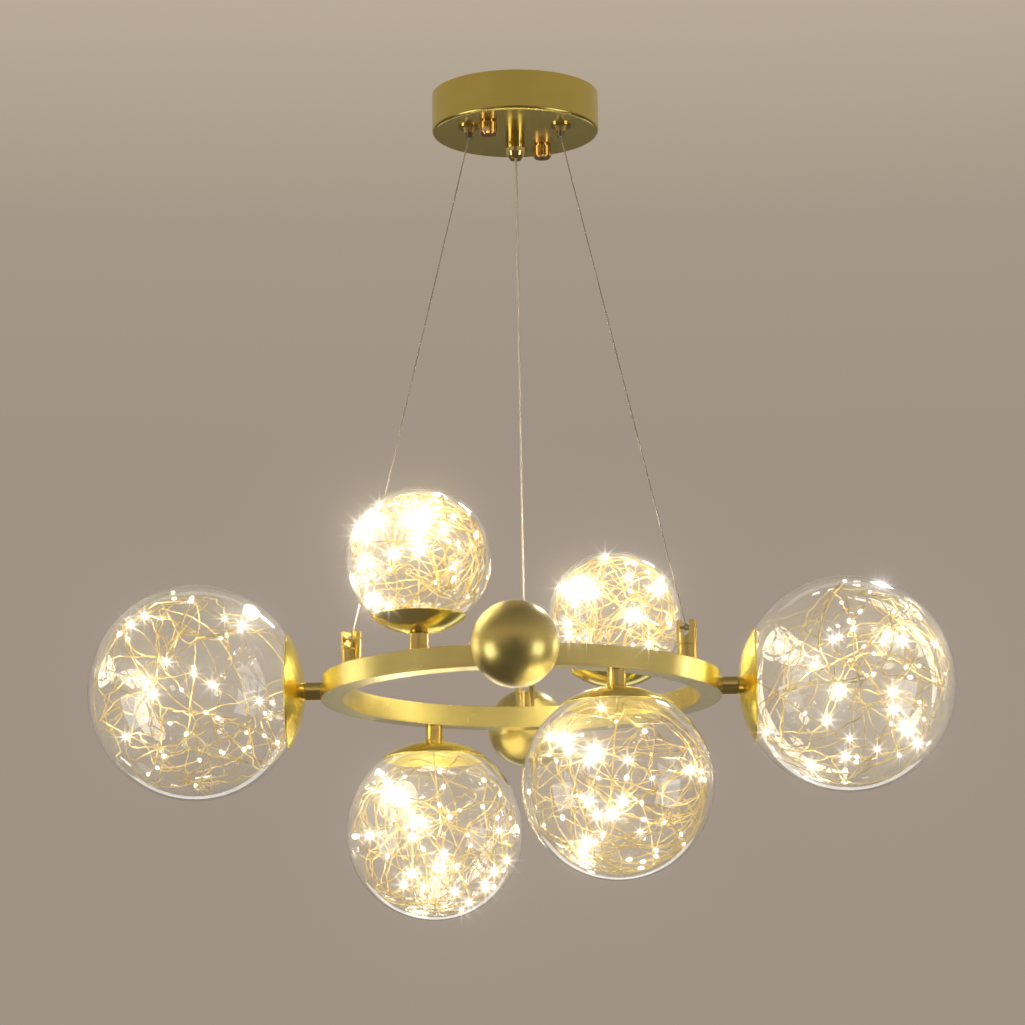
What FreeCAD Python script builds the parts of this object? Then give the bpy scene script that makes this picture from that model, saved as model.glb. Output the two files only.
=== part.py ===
import FreeCAD, Part
import Sketcher
import math
import os
import re

# Orb chandelier. A round ceiling canopy holds a horizontal ring on three steel wires. The ring
# carries six clear glass globes with wound light strings inside and two plain metal balls.
# Millimetres. The origin is the middle of the bracket's ceiling face, +Z is up, and the lamp hangs
# down from it. The camera side of the lamp is -Y, and "back" in a name means the +Y side.

DOC = FreeCAD.newDocument("orb_chandelier")
SHEET = DOC.addObject("Spreadsheet::Sheet", "Sizes")

SIZES = [
    ("canopy_radius", 79.0, "outer radius of the drawn canopy cup"),
    ("canopy_height", 38.5, "ceiling to the canopy's flat underside"),
    ("canopy_wall", 1.0, "sheet thickness of the canopy"),
    ("canopy_edge_radius", 3.0, "rounding of the canopy's lower edge"),
    ("canopy_lift", 0.5, "gap between the canopy's rim and the ceiling"),
    ("strap_length", 118.0, "mounting bracket, end to end"),
    ("strap_width", 22.0, "mounting bracket, across"),
    ("strap_thickness", 1.5, "mounting bracket, sheet thickness"),
    ("screw_circle_radius", 30.0, "ceiling screw holes, from the middle"),
    ("screw_hole_radius", 2.25, "ceiling screw holes"),
    ("stud_circle_radius", 46.2, "canopy studs, from the middle"),
    ("stud_angle", 57.7, "direction of the bracket, degrees from +X"),
    ("stud_radius", 2.0, "threaded studs of the bracket"),
    ("stud_collar_radius", 3.6, "collar that rivets a stud to the bracket"),
    ("stud_collar_height", 3.0, "thickness of that collar"),
    ("stud_reach", 8.0, "stud below the canopy, inside its hand nut"),
    ("nut_radius", 8.8, "knurled hand nut"),
    ("nut_height", 13.0, "knurled hand nut, top to tip"),
    ("nut_collar_radius", 6.5, "plain collar at the nut's top"),
    ("nut_collar_height", 1.5, "height of that collar"),
    ("nut_chamfer", 1.8, "bevel at the nut's tip"),
    ("nut_tip_hole_radius", 1.3, "small hole in the nut's tip"),
    ("nut_bore_depth", 9.5, "depth of the nut's thread"),
    ("knurl_count", 22, "grooves round the nut"),
    ("knurl_radius", 0.55, "radius of each groove"),
    ("running_clearance", 0.05, "radial clearance of parts that turn or slide"),
    ("fit_clearance", 0.15, "clearance of parts that are put together once"),
    ("seat_gap", 0.1, "gap under a part that turns on a flat face"),
    ("shank_radius", 4.9, "threaded shank of the fittings in the canopy"),
    ("shank_length", 12.0, "shank above the canopy's underside"),
    ("lock_nut_radius", 8.0, "hexagon lock nuts, to their corners"),
    ("lock_nut_height", 4.0, "hexagon lock nuts"),
    ("gripper_circle_radius", 50.0, "wire grippers, from the middle of the canopy"),
    ("gripper_flange_radius", 10.0, "flange of a wire gripper"),
    ("gripper_flange_height", 1.6, "thickness of that flange"),
    ("gripper_cone_radius", 5.6, "gripper cone where it meets the flange"),
    ("gripper_nose_radius", 4.3, "gripper cone at its lower end"),
    ("gripper_height", 6.6, "gripper body below the canopy"),
    ("gripper_bore_top", 6.0, "plunger bore above the canopy's underside"),
    ("plunger_radius", 3.0, "release plunger of a gripper"),
    ("plunger_reach", 11.5, "plunger tip below the canopy"),
    ("plunger_top", 2.0, "plunger's inner end above the canopy's underside"),
    ("plunger_mouth_radius", 2.1, "flared mouth of the plunger"),
    ("plunger_bore_radius", 1.1, "wire hole through the gripper"),
    ("wire_radius", 0.6, "steel suspension wire"),
    ("wire_entry", 1.0, "wire's upper end above the plunger's tip"),
    ("gland_radius", 9.3, "cord gland in the middle of the canopy"),
    ("gland_straight", 15.0, "straight part of the gland"),
    ("gland_nose", 11.0, "rounded nose of the gland"),
    ("gland_cheek_radius", 8.81, "gland's nose, at its first step inwards"),
    ("gland_cheek_drop", 3.85, "that step below the straight part"),
    ("gland_chin_radius", 7.46, "gland's nose, at its second step inwards"),
    ("gland_chin_drop", 7.7, "that step below the straight part"),
    ("gland_tip_radius", 5.2, "gland at its tip"),
    ("gland_slot_width", 3.3, "slot in the front of the gland"),
    ("gland_slot_height", 10.0, "slot in the front of the gland"),
    ("gland_slot_depth", 3.0, "slot in the front of the gland"),
    ("gland_bore_radius", 2.3, "cord hole through the gland, wide enough for the cord's slant"),
    ("cord_radius", 1.1, "clear power cord"),
    ("cord_entry", 2.0, "cord inside the gland's tip"),
    ("cord_join", 0.6, "straight run to tail of the cord, across its bend"),
    ("driver_length", 46.0, "power supply inside the canopy"),
    ("driver_width", 28.0, "power supply"),
    ("driver_height", 18.0, "power supply"),
    ("driver_corner_radius", 2.0, "rounding of the power supply's upright edges"),
    ("driver_x", 42.0, "power supply, middle"),
    ("driver_y", 8.0, "power supply, middle"),
    ("terminal_length", 28.0, "terminal block inside the canopy"),
    ("terminal_width", 16.0, "terminal block"),
    ("terminal_height", 12.0, "terminal block"),
    ("terminal_x", -45.0, "terminal block, middle"),
    ("terminal_y", 8.0, "terminal block, middle"),
    ("terminal_screw_radius", 2.2, "screw wells of the terminal block"),
    ("terminal_screw_depth", 5.0, "screw wells of the terminal block"),
    ("terminal_screw_pitch", 9.0, "from one screw well to the next"),
    ("drop", 534.5, "canopy's underside to the middle of the ring"),
    ("ring_outer_radius", 185.0, "ring, outside"),
    ("ring_width", 20.0, "ring section, across"),
    ("ring_height", 20.0, "ring section, up and down"),
    ("ring_wall", 1.5, "sheet thickness of the ring's channel"),
    ("ring_edge_radius", 0.6, "rounding of the channel's upper edges"),
    ("cover_thickness", 1.5, "cover under the ring"),
    ("cover_gap", 0.3, "shadow line between channel and cover"),
    ("lip_height", 1.5, "locating lips of the cover"),
    ("lip_thickness", 1.2, "locating lips of the cover"),
    ("harness_radius", 1.2, "wire bundle inside the ring"),
    ("harness_gap", 0.5, "bundle to the channel's inner wall"),
    ("harness_drop", 2.0, "bundle below the middle of the ring"),
    ("insert_radius", 6.8, "threaded inserts welded in the channel"),
    ("insert_height", 5.5, "threaded inserts"),
    ("insert_play", 0.2, "insert's flat end to the curved wall"),
    ("nipple_radius", 5.0, "hollow threaded nipple of a stem"),
    ("nipple_bore_radius", 2.5, "lead hole through a stem"),
    ("globe_nipple_radius", 4.0, "nipple at the globe's end of a stem"),
    ("globe_nipple_length", 5.8, "nipple past the stem's shoulder"),
    ("stem_radius", 8.5, "plain stem between ring and cap"),
    ("stem_chamfer", 0.5, "bevel of a stem's edges"),
    ("globe_standoff", 16.5, "ring's face to the glass, along the stem"),
    ("large_radius", 100.0, "glass of the two side globes"),
    ("medium_radius", 85.25, "glass of the two lower globes"),
    ("small_radius", 65.5, "glass of the two upper globes"),
    ("glass_wall", 1.5, "glass thickness"),
    ("mouth_radius", 9.0, "hole in the glass for the string's base"),
    ("cap_gap", 0.3, "cap to glass"),
    ("cap_thickness", 1.2, "spun metal cap"),
    ("large_cap_radius", 53.0, "rim of the large caps"),
    ("medium_cap_radius", 50.0, "rim of the medium caps"),
    ("small_cap_radius", 42.3, "rim of the small caps"),
    ("base_neck_radius", 8.0, "string base where it passes the glass"),
    ("base_head_radius", 10.5, "string base inside the glass"),
    ("base_head_height", 4.0, "string base inside the glass"),
    ("base_rise", 0.95, "glass to the base's head, on the axis"),
    ("string_radius", 0.45, "copper wire of a light string"),
    ("winding_margin", 7.0, "outermost loop to the outside of the glass"),
    ("string_ball_wall", 0.3, "thin ball with the outer shape of a large globe's string"),
    ("medium_first_loop", 26.0, "radius of the first loop in a medium globe"),
    ("small_first_loop", 20.0, "radius of the first loop in a small globe"),
    ("medium_loops", 16, "loops in a medium globe"),
    ("small_loops", 14, "loops in a small globe"),
    ("loop_tilt", 62.0, "degrees between a loop and the globe's equator"),
    ("loop_step", 61.0, "degrees that each loop turns past the last"),
    ("bead_radius", 1.5, "light bead on the string"),
    ("bead_gap", 0.1, "bead to the wire"),
    ("beads_per_string", 18, "light beads on a string"),
    ("ball_radius", 38.5, "plain metal ball"),
    ("ball_wall", 1.2, "metal ball, wall"),
    ("ball_standoff", 11.6, "ring's face to the ball"),
    ("ball_seat_depth", 0.9, "flat seat in the ball for its stem"),
    ("ball_stem_radius", 8.0, "stem of a metal ball"),
    ("ball_nipple_length", 6.0, "nipple inside the ball"),
    ("post_base_radius", 9.0, "lower half of a wire post"),
    ("post_base_height", 12.7, "lower half of a wire post"),
    ("post_head_radius", 9.5, "slotted head of a wire post"),
    ("post_head_height", 16.5, "slotted head of a wire post"),
    ("tall_head_height", 22.5, "the taller head, on the right"),
    ("post_slot_width", 8.6, "slot across the head"),
    ("post_slot_depth", 15.0, "slot across the head"),
    ("post_chamfer", 0.5, "bevel of a post's edges"),
    ("spigot_radius", 3.0, "spigot that joins head and base"),
    ("spigot_length", 5.0, "spigot that joins head and base"),
    ("pin_radius", 1.25, "cross pin of a head"),
    ("pin_drop", 6.0, "cross pin below the head's top"),
    ("pin_recess", 0.8, "pin's end inside its hole"),
    ("terminal_ball_radius", 3.2, "wire terminal on the pin"),
    ("terminal_bore_radius", 0.95, "wire hole of the terminal"),
    ("wire_tuck", 1.5, "wire inside the terminal"),
    ("post_screw_radius", 2.0, "screw that holds a post to the ring"),
    ("post_screw_length", 5.0, "screw above the ring"),
    ("post_screw_head_radius", 3.8, "head of that screw"),
    ("post_screw_head_height", 1.6, "head of that screw"),
    ("cord_offset", 6.0, "cord from the middle of the back post"),
    ("cord_hole_radius", 1.6, "cord hole of the back post"),
    ("cord_tail_top", 3.0, "cord tail's top below the head's top"),
    ("cord_tail_reach", 3.0, "cord tail below the ring's top wall"),
]

for row, (alias, number, note) in enumerate(SIZES, start=1):
    SHEET.set(f"A{row}", alias)
    SHEET.set(f"B{row}", str(number))
    SHEET.setAlias(f"B{row}", alias)
    SHEET.set(f"C{row}", note)
DOC.recompute()

ALIASES = {alias for alias, number, note in SIZES}
X_AXIS = FreeCAD.Vector(1, 0, 0)
Y_AXIS = FreeCAD.Vector(0, 1, 0)
Z_AXIS = FreeCAD.Vector(0, 0, 1)

# Heights and radii that several parts share, written with the sheet's names.
CANOPY_FACE = "(-canopy_height)"
RING_LEVEL = "(-canopy_height - drop)"
RING_TOP = "(-canopy_height - drop + ring_height / 2)"
RING_INNER = "(ring_outer_radius - ring_width)"
RING_MIDDLE = "(ring_outer_radius - ring_width / 2)"


def size(alias):
    """The number that the sheet holds under a name."""
    return float(SHEET.get(alias))


def bound(text):
    """A size written with the sheet's names, as an expression that objects can be tied to."""
    return re.sub(r"[a-z_]+", lambda m: f"Sizes.{m[0]}" if m[0] in ALIASES else m[0], text)


def tie(thing, place, text):
    thing.setExpression(place, bound(text))


def put(thing, at):
    for axis, text in zip("xyz", at):
        tie(thing, f"Placement.Base.{axis}", text)
    return thing


def cylinder(name, radius, height, at=("0", "0", "0")):
    thing = DOC.addObject("Part::Cylinder", name)
    tie(thing, "Radius", radius)
    tie(thing, "Height", height)
    return put(thing, at)


def cylinder_along(name, axis, radius, height, at=("0", "0", "0")):
    """A cylinder that points along +X or +Y."""
    thing = cylinder(name, radius, height)
    turn = FreeCAD.Rotation(Y_AXIS, 90) if axis == X_AXIS else FreeCAD.Rotation(X_AXIS, -90)
    thing.Placement = FreeCAD.Placement(FreeCAD.Vector(), turn)
    return put(thing, at)


def sphere(name, radius, at=("0", "0", "0")):
    thing = DOC.addObject("Part::Sphere", name)
    tie(thing, "Radius", radius)
    return put(thing, at)


def block(name, length, width, height, middle):
    """A box, placed by the middle of its lower face."""
    thing = DOC.addObject("Part::Box", name)
    tie(thing, "Length", length)
    tie(thing, "Width", width)
    tie(thing, "Height", height)
    x, y, z = middle
    return put(thing, (f"{x} - ({length}) / 2", f"{y} - ({width}) / 2", z))


def fuse(name, shapes):
    thing = DOC.addObject("Part::MultiFuse", name)
    thing.Shapes = shapes
    return thing


def cut(name, base, tools):
    tool = tools[0] if len(tools) == 1 else fuse(f"{name}_tools", tools)
    thing = DOC.addObject("Part::Cut", name)
    thing.Base = base
    thing.Tool = tool
    return thing


def common(name, first, second):
    thing = DOC.addObject("Part::Common", name)
    thing.Base = first
    thing.Tool = second
    return thing


def group(name, shapes):
    """Separate solids of one kind, in one node."""
    thing = DOC.addObject("Part::Compound", name)
    thing.Links = shapes
    return thing


def origin_feature(body, role):
    return next(f for f in body.Origin.OriginFeatures if f.Role == role)


def on_plane(body, role, name):
    sketch = body.newObject("Sketcher::SketchObject", name)
    sketch.AttachmentSupport = [(origin_feature(body, role), "")]
    sketch.MapMode = "FlatFace"
    return sketch


def outline(sketch, corners):
    """A closed outline whose corners are tied to the sheet: (radius, height) in the XZ plane."""
    count = len(corners)
    spread = 10.0
    rough = [
        FreeCAD.Vector(
            3 * spread + spread * math.cos(2 * math.pi * i / count),
            spread * math.sin(2 * math.pi * i / count),
            0,
        )
        for i in range(count)
    ]
    for i in range(count):
        sketch.addGeometry(Part.LineSegment(rough[i], rough[(i + 1) % count]), False)
    for i in range(count):
        sketch.addConstraint(Sketcher.Constraint("Coincident", i, 2, (i + 1) % count, 1))
    for i, corner in enumerate(corners):
        for kind, text, rough_value in zip(("DistanceX", "DistanceY"), corner, rough[i]):
            if text == "0":
                line = -2 if kind == "DistanceX" else -1
                sketch.addConstraint(Sketcher.Constraint("PointOnObject", i, 1, line))
            else:
                place = sketch.addConstraint(Sketcher.Constraint(kind, i, 1, rough_value))
                tie(sketch, f"Constraints[{place}]", text)


def turned(name, corners):
    """A turned part: the outline swept round the Z axis."""
    body = DOC.addObject("PartDesign::Body", name)
    sketch = on_plane(body, "XZ_Plane", f"{name}_outline")
    outline(sketch, corners)
    turn = body.newObject("PartDesign::Revolution", f"{name}_turn")
    turn.Profile = sketch
    turn.ReferenceAxis = (sketch, ["V_Axis"])
    turn.Angle = 360
    sketch.Visibility = False
    body.Tip = turn
    return body


def rounded(body, radius, circles):
    """Rounds the edges of a turned part that lie on the given (radius, height) circles."""
    DOC.recompute()
    base = body.Tip
    near = 1e-4
    names = []
    for i, edge in enumerate(base.Shape.Edges, start=1):
        curve = edge.Curve
        if curve.TypeId != "Part::GeomCircle":
            continue
        for circle_radius, height in circles:
            if abs(curve.Radius - circle_radius) < near and abs(curve.Center.z - height) < near:
                names.append(f"Edge{i}")
    fillet = body.newObject("PartDesign::Fillet", f"{body.Name}_round")
    fillet.Base = (base, names)
    tie(fillet, "Radius", radius)
    body.Tip = fillet
    return body


def facing(azimuth, way):
    """The turn that takes +Z to the way that a ring fitting points."""
    if way == "up":
        return FreeCAD.Rotation(Z_AXIS, azimuth)
    if way == "down":
        return FreeCAD.Rotation(Z_AXIS, azimuth) * FreeCAD.Rotation(X_AXIS, 180)
    return FreeCAD.Rotation(Z_AXIS, azimuth) * FreeCAD.Rotation(Y_AXIS, 90)


def on_ring(thing, azimuth, way):
    """Puts a part, made along +Z from the ring's face, at its place on the ring."""
    radius = "ring_outer_radius" if way == "out" else RING_MIDDLE
    rise = {"out": "0", "up": "ring_height / 2", "down": "-ring_height / 2"}[way]
    thing.Placement = FreeCAD.Placement(FreeCAD.Vector(), facing(azimuth, way))
    at = (f"{radius} * cos({azimuth})", f"{radius} * sin({azimuth})", f"{RING_LEVEL} + {rise}")
    return put(thing, at)


def on_circle(radius, azimuth, height):
    return (f"{radius} * cos({azimuth})", f"{radius} * sin({azimuth})", height)


NODES = []


def node(thing, label):
    thing.Label = label
    NODES.append(thing)
    return thing


# The ring's fittings: (name, globe size, azimuth, way it points).
GLOBES = [
    ("right", "large", 0, "out"),
    ("left", "large", 180, "out"),
    ("upper_back", "small", 60, "up"),
    ("upper_front", "small", 240, "up"),
    ("lower_back", "medium", 120, "down"),
    ("lower_front", "medium", 300, "down"),
]
BALLS = [("back", 90), ("front", 270)]
# The wire posts: (name, azimuth, direction of the slot, height of the head).
POSTS = [
    ("back", 90, 90, "post_head_height"),
    ("left", 210, 246, "post_head_height"),
    ("right", 330, 256, "tall_head_height"),
]

# ---------------------------------------------------------------- mounting bracket and canopy


def mounting_bracket():
    strap = block("strap", "strap_length", "strap_width", "strap_thickness", ("0", "0", "-strap_thickness"))
    ends = cylinder("strap_ends", "strap_length / 2", "strap_thickness", ("0", "0", "-strap_thickness"))
    rounded_strap = common("rounded_strap", strap, ends)
    holes = []
    for side in (-1, 1):
        for name, circle, radius in (
            ("screw_hole", "screw_circle_radius", "screw_hole_radius"),
            ("stud_hole", "stud_circle_radius", "stud_radius + running_clearance"),
        ):
            at = (f"{side} * {circle}", "0", "-2 * strap_thickness")
            holes.append(cylinder(f"{name}_{side + 1}", radius, "3 * strap_thickness", at))
    bracket = cut("bracket", rounded_strap, holes)
    tie(bracket, "Placement.Rotation.Angle", "stud_angle")
    return node(bracket, "mounting_bracket")


def bracket_studs():
    studs = []
    for side in (-1, 1):
        x = f"{side} * stud_circle_radius"
        length = "canopy_height + stud_reach - seat_gap"
        rod = cylinder(f"stud_rod_{side + 1}", "stud_radius", length, (x, "0", f"-({length}) - seat_gap"))
        collar_z = "-strap_thickness - stud_collar_height"
        collar = cylinder(f"stud_collar_{side + 1}", "stud_collar_radius", "stud_collar_height",
                          (x, "0", collar_z))
        studs.append(fuse(f"stud_{side + 1}", [rod, collar]))
    pair = group("studs", studs)
    tie(pair, "Placement.Rotation.Angle", "stud_angle")
    return node(pair, "bracket_studs")


def canopy_cup():
    inner = "canopy_radius - canopy_wall"
    floor = "-canopy_height + canopy_wall"
    cup = turned("cup", [
        ("0", "-canopy_height"),
        ("canopy_radius", "-canopy_height"),
        ("canopy_radius", "-canopy_lift"),
        (inner, "-canopy_lift"),
        (inner, floor),
        ("0", floor),
    ])
    outer_edge = (size("canopy_radius"), -size("canopy_height"))
    rounded(cup, "canopy_edge_radius", [outer_edge])
    inner_edge = (size("canopy_radius") - size("canopy_wall"), size("canopy_wall") - size("canopy_height"))
    rounded(cup, "canopy_edge_radius - canopy_wall", [inner_edge])
    below = f"{CANOPY_FACE} - canopy_wall"
    deep = "3 * canopy_wall"
    shank_hole = "shank_radius + fit_clearance"
    holes = [cylinder("gland_hole", shank_hole, deep, ("0", "0", below))]
    for name, azimuth, slot, head in POSTS:
        at = on_circle("gripper_circle_radius", azimuth, below)
        holes.append(cylinder(f"gripper_hole_{name}", shank_hole, deep, at))
    for side in (0, 180):
        at = on_circle("stud_circle_radius", f"(stud_angle + {side})", below)
        holes.append(cylinder(f"stud_way_{side}", "stud_radius + fit_clearance", deep, at))
    return node(cut("canopy", cup, holes), "canopy_cup")


def hand_nut(name, turn):
    """A knurled nut that holds the canopy up. Its top is at the body's origin."""
    bore = "stud_radius + running_clearance"
    nut = turned(f"nut_{name}", [
        (bore, "0"),
        ("nut_collar_radius", "0"),
        ("nut_collar_radius", "-nut_collar_height"),
        ("nut_radius", "-nut_collar_height"),
        ("nut_radius", "nut_chamfer - nut_height"),
        ("nut_radius - nut_chamfer", "-nut_height"),
        ("nut_tip_hole_radius", "-nut_height"),
        ("nut_tip_hole_radius", "-nut_bore_depth"),
        (bore, "-nut_bore_depth"),
    ])
    whole = nut.Tip
    sketch = on_plane(nut, "XY_Plane", f"knurl_{name}")
    middle = size("nut_radius")
    sketch.addGeometry(Part.Circle(X_AXIS * middle, Z_AXIS, size("knurl_radius")), False)
    sketch.addConstraint(Sketcher.Constraint("PointOnObject", 0, 3, -1))
    place = sketch.addConstraint(Sketcher.Constraint("DistanceX", 0, 3, middle))
    tie(sketch, f"Constraints[{place}]", "nut_radius")
    place = sketch.addConstraint(Sketcher.Constraint("Radius", 0, 1))
    tie(sketch, f"Constraints[{place}]", "knurl_radius")
    groove = nut.newObject("PartDesign::Pocket", f"groove_{name}")
    groove.Profile = sketch
    groove.Type = "ThroughAll"
    groove.Midplane = True
    sketch.Visibility = False
    nut.Tip = groove
    DOC.recompute()
    if groove.Shape.Volume >= whole.Shape.Volume:
        raise ValueError("the knurl cuts nothing")
    knurl = nut.newObject("PartDesign::PolarPattern", f"knurling_{name}")
    knurl.Originals = [groove]
    knurl.Axis = (sketch, ["N_Axis"])
    knurl.Angle = 360
    tie(knurl, "Occurrences", "knurl_count")
    nut.Tip = knurl
    put(nut, on_circle("stud_circle_radius", f"(stud_angle + {turn})", f"{CANOPY_FACE} - seat_gap"))
    return node(nut, f"canopy_nut_{name}")


def led_driver():
    """The power supply, a box with rounded upright edges, on the canopy's floor."""
    floor = f"{CANOPY_FACE} + canopy_wall"
    body = block("driver_box", "driver_width", "driver_length", "driver_height",
                 ("driver_x", "driver_y", floor))
    DOC.recompute()
    half_height = size("driver_height") / 2
    upright = [i for i, e in enumerate(body.Shape.Edges, start=1)
               if abs(e.Vertexes[0].Z - e.Vertexes[1].Z) > half_height]
    driver = DOC.addObject("Part::Fillet", "driver")
    driver.Base = body
    corner = size("driver_corner_radius")
    driver.Edges = [(i, corner, corner) for i in upright]
    return node(driver, "led_driver")


def terminal_block():
    """Three pole pairs in a plastic block, open at the top for the screws."""
    floor = f"{CANOPY_FACE} + canopy_wall"
    body = block("terminal_body", "terminal_width", "terminal_length", "terminal_height",
                 ("terminal_x", "terminal_y", floor))
    wells = []
    top = f"{floor} + terminal_height - terminal_screw_depth"
    for row in (-1, 1):
        for pole in (-1, 0, 1):
            x = f"terminal_x + {row} * terminal_width / 4"
            y = f"terminal_y + {pole} * terminal_screw_pitch"
            at = (x, y, top)
            wells.append(cylinder(f"well_{row + 1}{pole + 1}", "terminal_screw_radius",
                                  "2 * terminal_screw_depth", at))
    return node(cut("terminals", body, wells), "terminal_block")


# ---------------------------------------------------------------- wire grippers and cord gland


def cord_gland():
    """The fitting in the middle of the canopy that lets the power cord down."""
    hole = "gland_bore_radius"
    tip = "-gland_straight - gland_nose"
    gland = turned("gland", [
        (hole, tip),
        ("gland_tip_radius", tip),
        ("gland_chin_radius", "-gland_straight - gland_chin_drop"),
        ("gland_cheek_radius", "-gland_straight - gland_cheek_drop"),
        ("gland_radius", "-gland_straight"),
        ("gland_radius", "0"),
        ("shank_radius", "0"),
        ("shank_radius", "shank_length"),
        (hole, "shank_length"),
    ])
    slot = block("gland_slot", "gland_slot_width", "2 * gland_slot_depth", "gland_slot_height",
                 ("0", "-gland_radius", "-gland_slot_height - seat_gap"))
    return node(put(cut("slotted_gland", gland, [slot]), ("0", "0", CANOPY_FACE)), "cord_gland")


def lock_nut(name, at):
    hexagon = DOC.addObject("Part::Prism", f"hexagon_{name}")
    hexagon.Polygon = 6
    tie(hexagon, "Circumradius", "lock_nut_radius")
    tie(hexagon, "Height", "lock_nut_height")
    thread = cylinder(f"nut_thread_{name}", "shank_radius + running_clearance", "lock_nut_height")
    return put(cut(f"lock_nut_{name}", hexagon, [thread]), at)


def gland_lock_nuts():
    inside = f"{CANOPY_FACE} + canopy_wall"
    nuts = [lock_nut("gland", ("0", "0", inside))]
    for name, azimuth, slot, head in POSTS:
        nuts.append(lock_nut(name, on_circle("gripper_circle_radius", azimuth, inside)))
    return node(group("lock_nuts", nuts), "gland_lock_nuts")


def gripper_bodies():
    """The three wire grippers: a flange under the canopy and a shank through it."""
    bore = "plunger_radius + running_clearance"
    bodies = []
    for name, azimuth, slot, head in POSTS:
        gripper = turned(f"gripper_{name}", [
            (bore, "-gripper_height"),
            ("gripper_nose_radius", "-gripper_height"),
            ("gripper_cone_radius", "-gripper_flange_height"),
            ("gripper_flange_radius", "-gripper_flange_height"),
            ("gripper_flange_radius", "0"),
            ("shank_radius", "0"),
            ("shank_radius", "shank_length"),
            ("plunger_bore_radius", "shank_length"),
            ("plunger_bore_radius", "gripper_bore_top"),
            (bore, "gripper_bore_top"),
        ])
        bodies.append(put(gripper, on_circle("gripper_circle_radius", azimuth, CANOPY_FACE)))
    return node(group("grippers", bodies), "wire_grippers")


def gripper_plunger(name, azimuth):
    """The sprung release plunger of one gripper, which the wire runs through."""
    plunger = turned(f"plunger_{name}", [
        ("plunger_mouth_radius", "-plunger_reach"),
        ("plunger_radius", "-plunger_reach"),
        ("plunger_radius", "plunger_top"),
        ("plunger_bore_radius", "plunger_top"),
        ("plunger_bore_radius", "2 * (plunger_mouth_radius - plunger_bore_radius) - plunger_reach"),
    ])
    put(plunger, on_circle("gripper_circle_radius", azimuth, CANOPY_FACE))
    return node(plunger, f"gripper_plunger_{name}")


def line_between(name, radius, start, end):
    """A round rod from one point to another."""
    way = end - start
    thing = DOC.addObject("Part::Cylinder", name)
    tie(thing, "Radius", radius)
    thing.Height = way.Length
    thing.Placement = FreeCAD.Placement(start, FreeCAD.Rotation(Z_AXIS, way))
    return thing


def polar(radius, azimuth, height):
    turn = math.radians(azimuth)
    return FreeCAD.Vector(radius * math.cos(turn), radius * math.sin(turn), height)


def ring_top_height():
    return -size("canopy_height") - size("drop") + size("ring_height") / 2


def ring_middle_radius():
    return size("ring_outer_radius") - size("ring_width") / 2


def wire_top(azimuth):
    height = -size("canopy_height") - size("plunger_reach") + size("wire_entry")
    return polar(size("gripper_circle_radius"), azimuth, height)


def pin_centre(azimuth, head):
    height = ring_top_height() + size("post_base_height") + size(head) - size("pin_drop")
    return polar(ring_middle_radius(), azimuth, height)


def suspension_wire(name, azimuth, head):
    """A straight steel wire from its gripper to the terminal in its post."""
    top = wire_top(azimuth)
    middle = pin_centre(azimuth, head)
    up = (top - middle).normalize()
    bottom = middle + up * (size("terminal_ball_radius") - size("wire_tuck"))
    wire = line_between(f"wire_{name}", "wire_radius", bottom, top)
    return node(wire, f"suspension_wire_{name}")


def tail_top():
    head = pin_centre(90, "post_head_height")
    height = head.z + size("pin_drop") - size("cord_tail_top")
    return FreeCAD.Vector(0, ring_middle_radius() - size("cord_offset"), height)


def power_cord():
    """The clear power cord, pulled straight from inside the gland's tip to the back post."""
    tip = -size("canopy_height") - size("gland_straight") - size("gland_nose")
    top = Z_AXIS * (tip + size("cord_entry"))
    bottom = tail_top() + Z_AXIS * size("cord_join")
    return node(line_between("cord", "cord_radius", bottom, top), "power_cord")


# ---------------------------------------------------------------- ring


def hole_from_face(name, azimuth, way, radius, depth):
    """A hole along a fitting's axis, from a little outside the ring's face inwards."""
    shaft = cylinder(f"{name}_shaft", radius, f"2 * ({depth})", ("0", "0", f"-({depth})"))
    return on_ring(group(name, [shaft]), azimuth, way)


def ring_channel():
    """The ring's body: a channel, open below, bent into a circle."""
    half = "ring_height / 2"
    foot = "-ring_height / 2 + cover_thickness + cover_gap"
    inner_wall = f"{RING_INNER} + ring_wall"
    outer_wall = "ring_outer_radius - ring_wall"
    under_top = "ring_height / 2 - ring_wall"
    channel = turned("channel", [
        (RING_INNER, foot),
        (inner_wall, foot),
        (inner_wall, under_top),
        (outer_wall, under_top),
        (outer_wall, foot),
        ("ring_outer_radius", foot),
        ("ring_outer_radius", half),
        (RING_INNER, half),
    ])
    top = size("ring_height") / 2
    outer = size("ring_outer_radius")
    rounded(channel, "ring_edge_radius", [(outer, top), (outer - size("ring_width"), top)])
    put(channel, ("0", "0", RING_LEVEL))
    hole = "nipple_radius + running_clearance"
    holes = []
    for name, kind, azimuth, way in GLOBES:
        if way != "down":
            holes.append(hole_from_face(f"way_{name}", azimuth, way, hole, "2 * ring_wall"))
    for name, azimuth in BALLS:
        holes.append(hole_from_face(f"ball_way_{name}", azimuth, "out", hole, "2 * ring_wall"))
    for name, azimuth, slot, head in POSTS:
        holes.append(hole_from_face(f"post_way_{name}", azimuth, "up", "post_screw_radius + fit_clearance",
                                    "2 * ring_wall"))
    holes.append(cylinder("cord_way", "cord_hole_radius", "4 * ring_wall",
                          ("0", f"{RING_MIDDLE} - cord_offset", f"{RING_TOP} - 2 * ring_wall")))
    return node(cut("bored_channel", channel, holes), "ring_channel")


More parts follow.
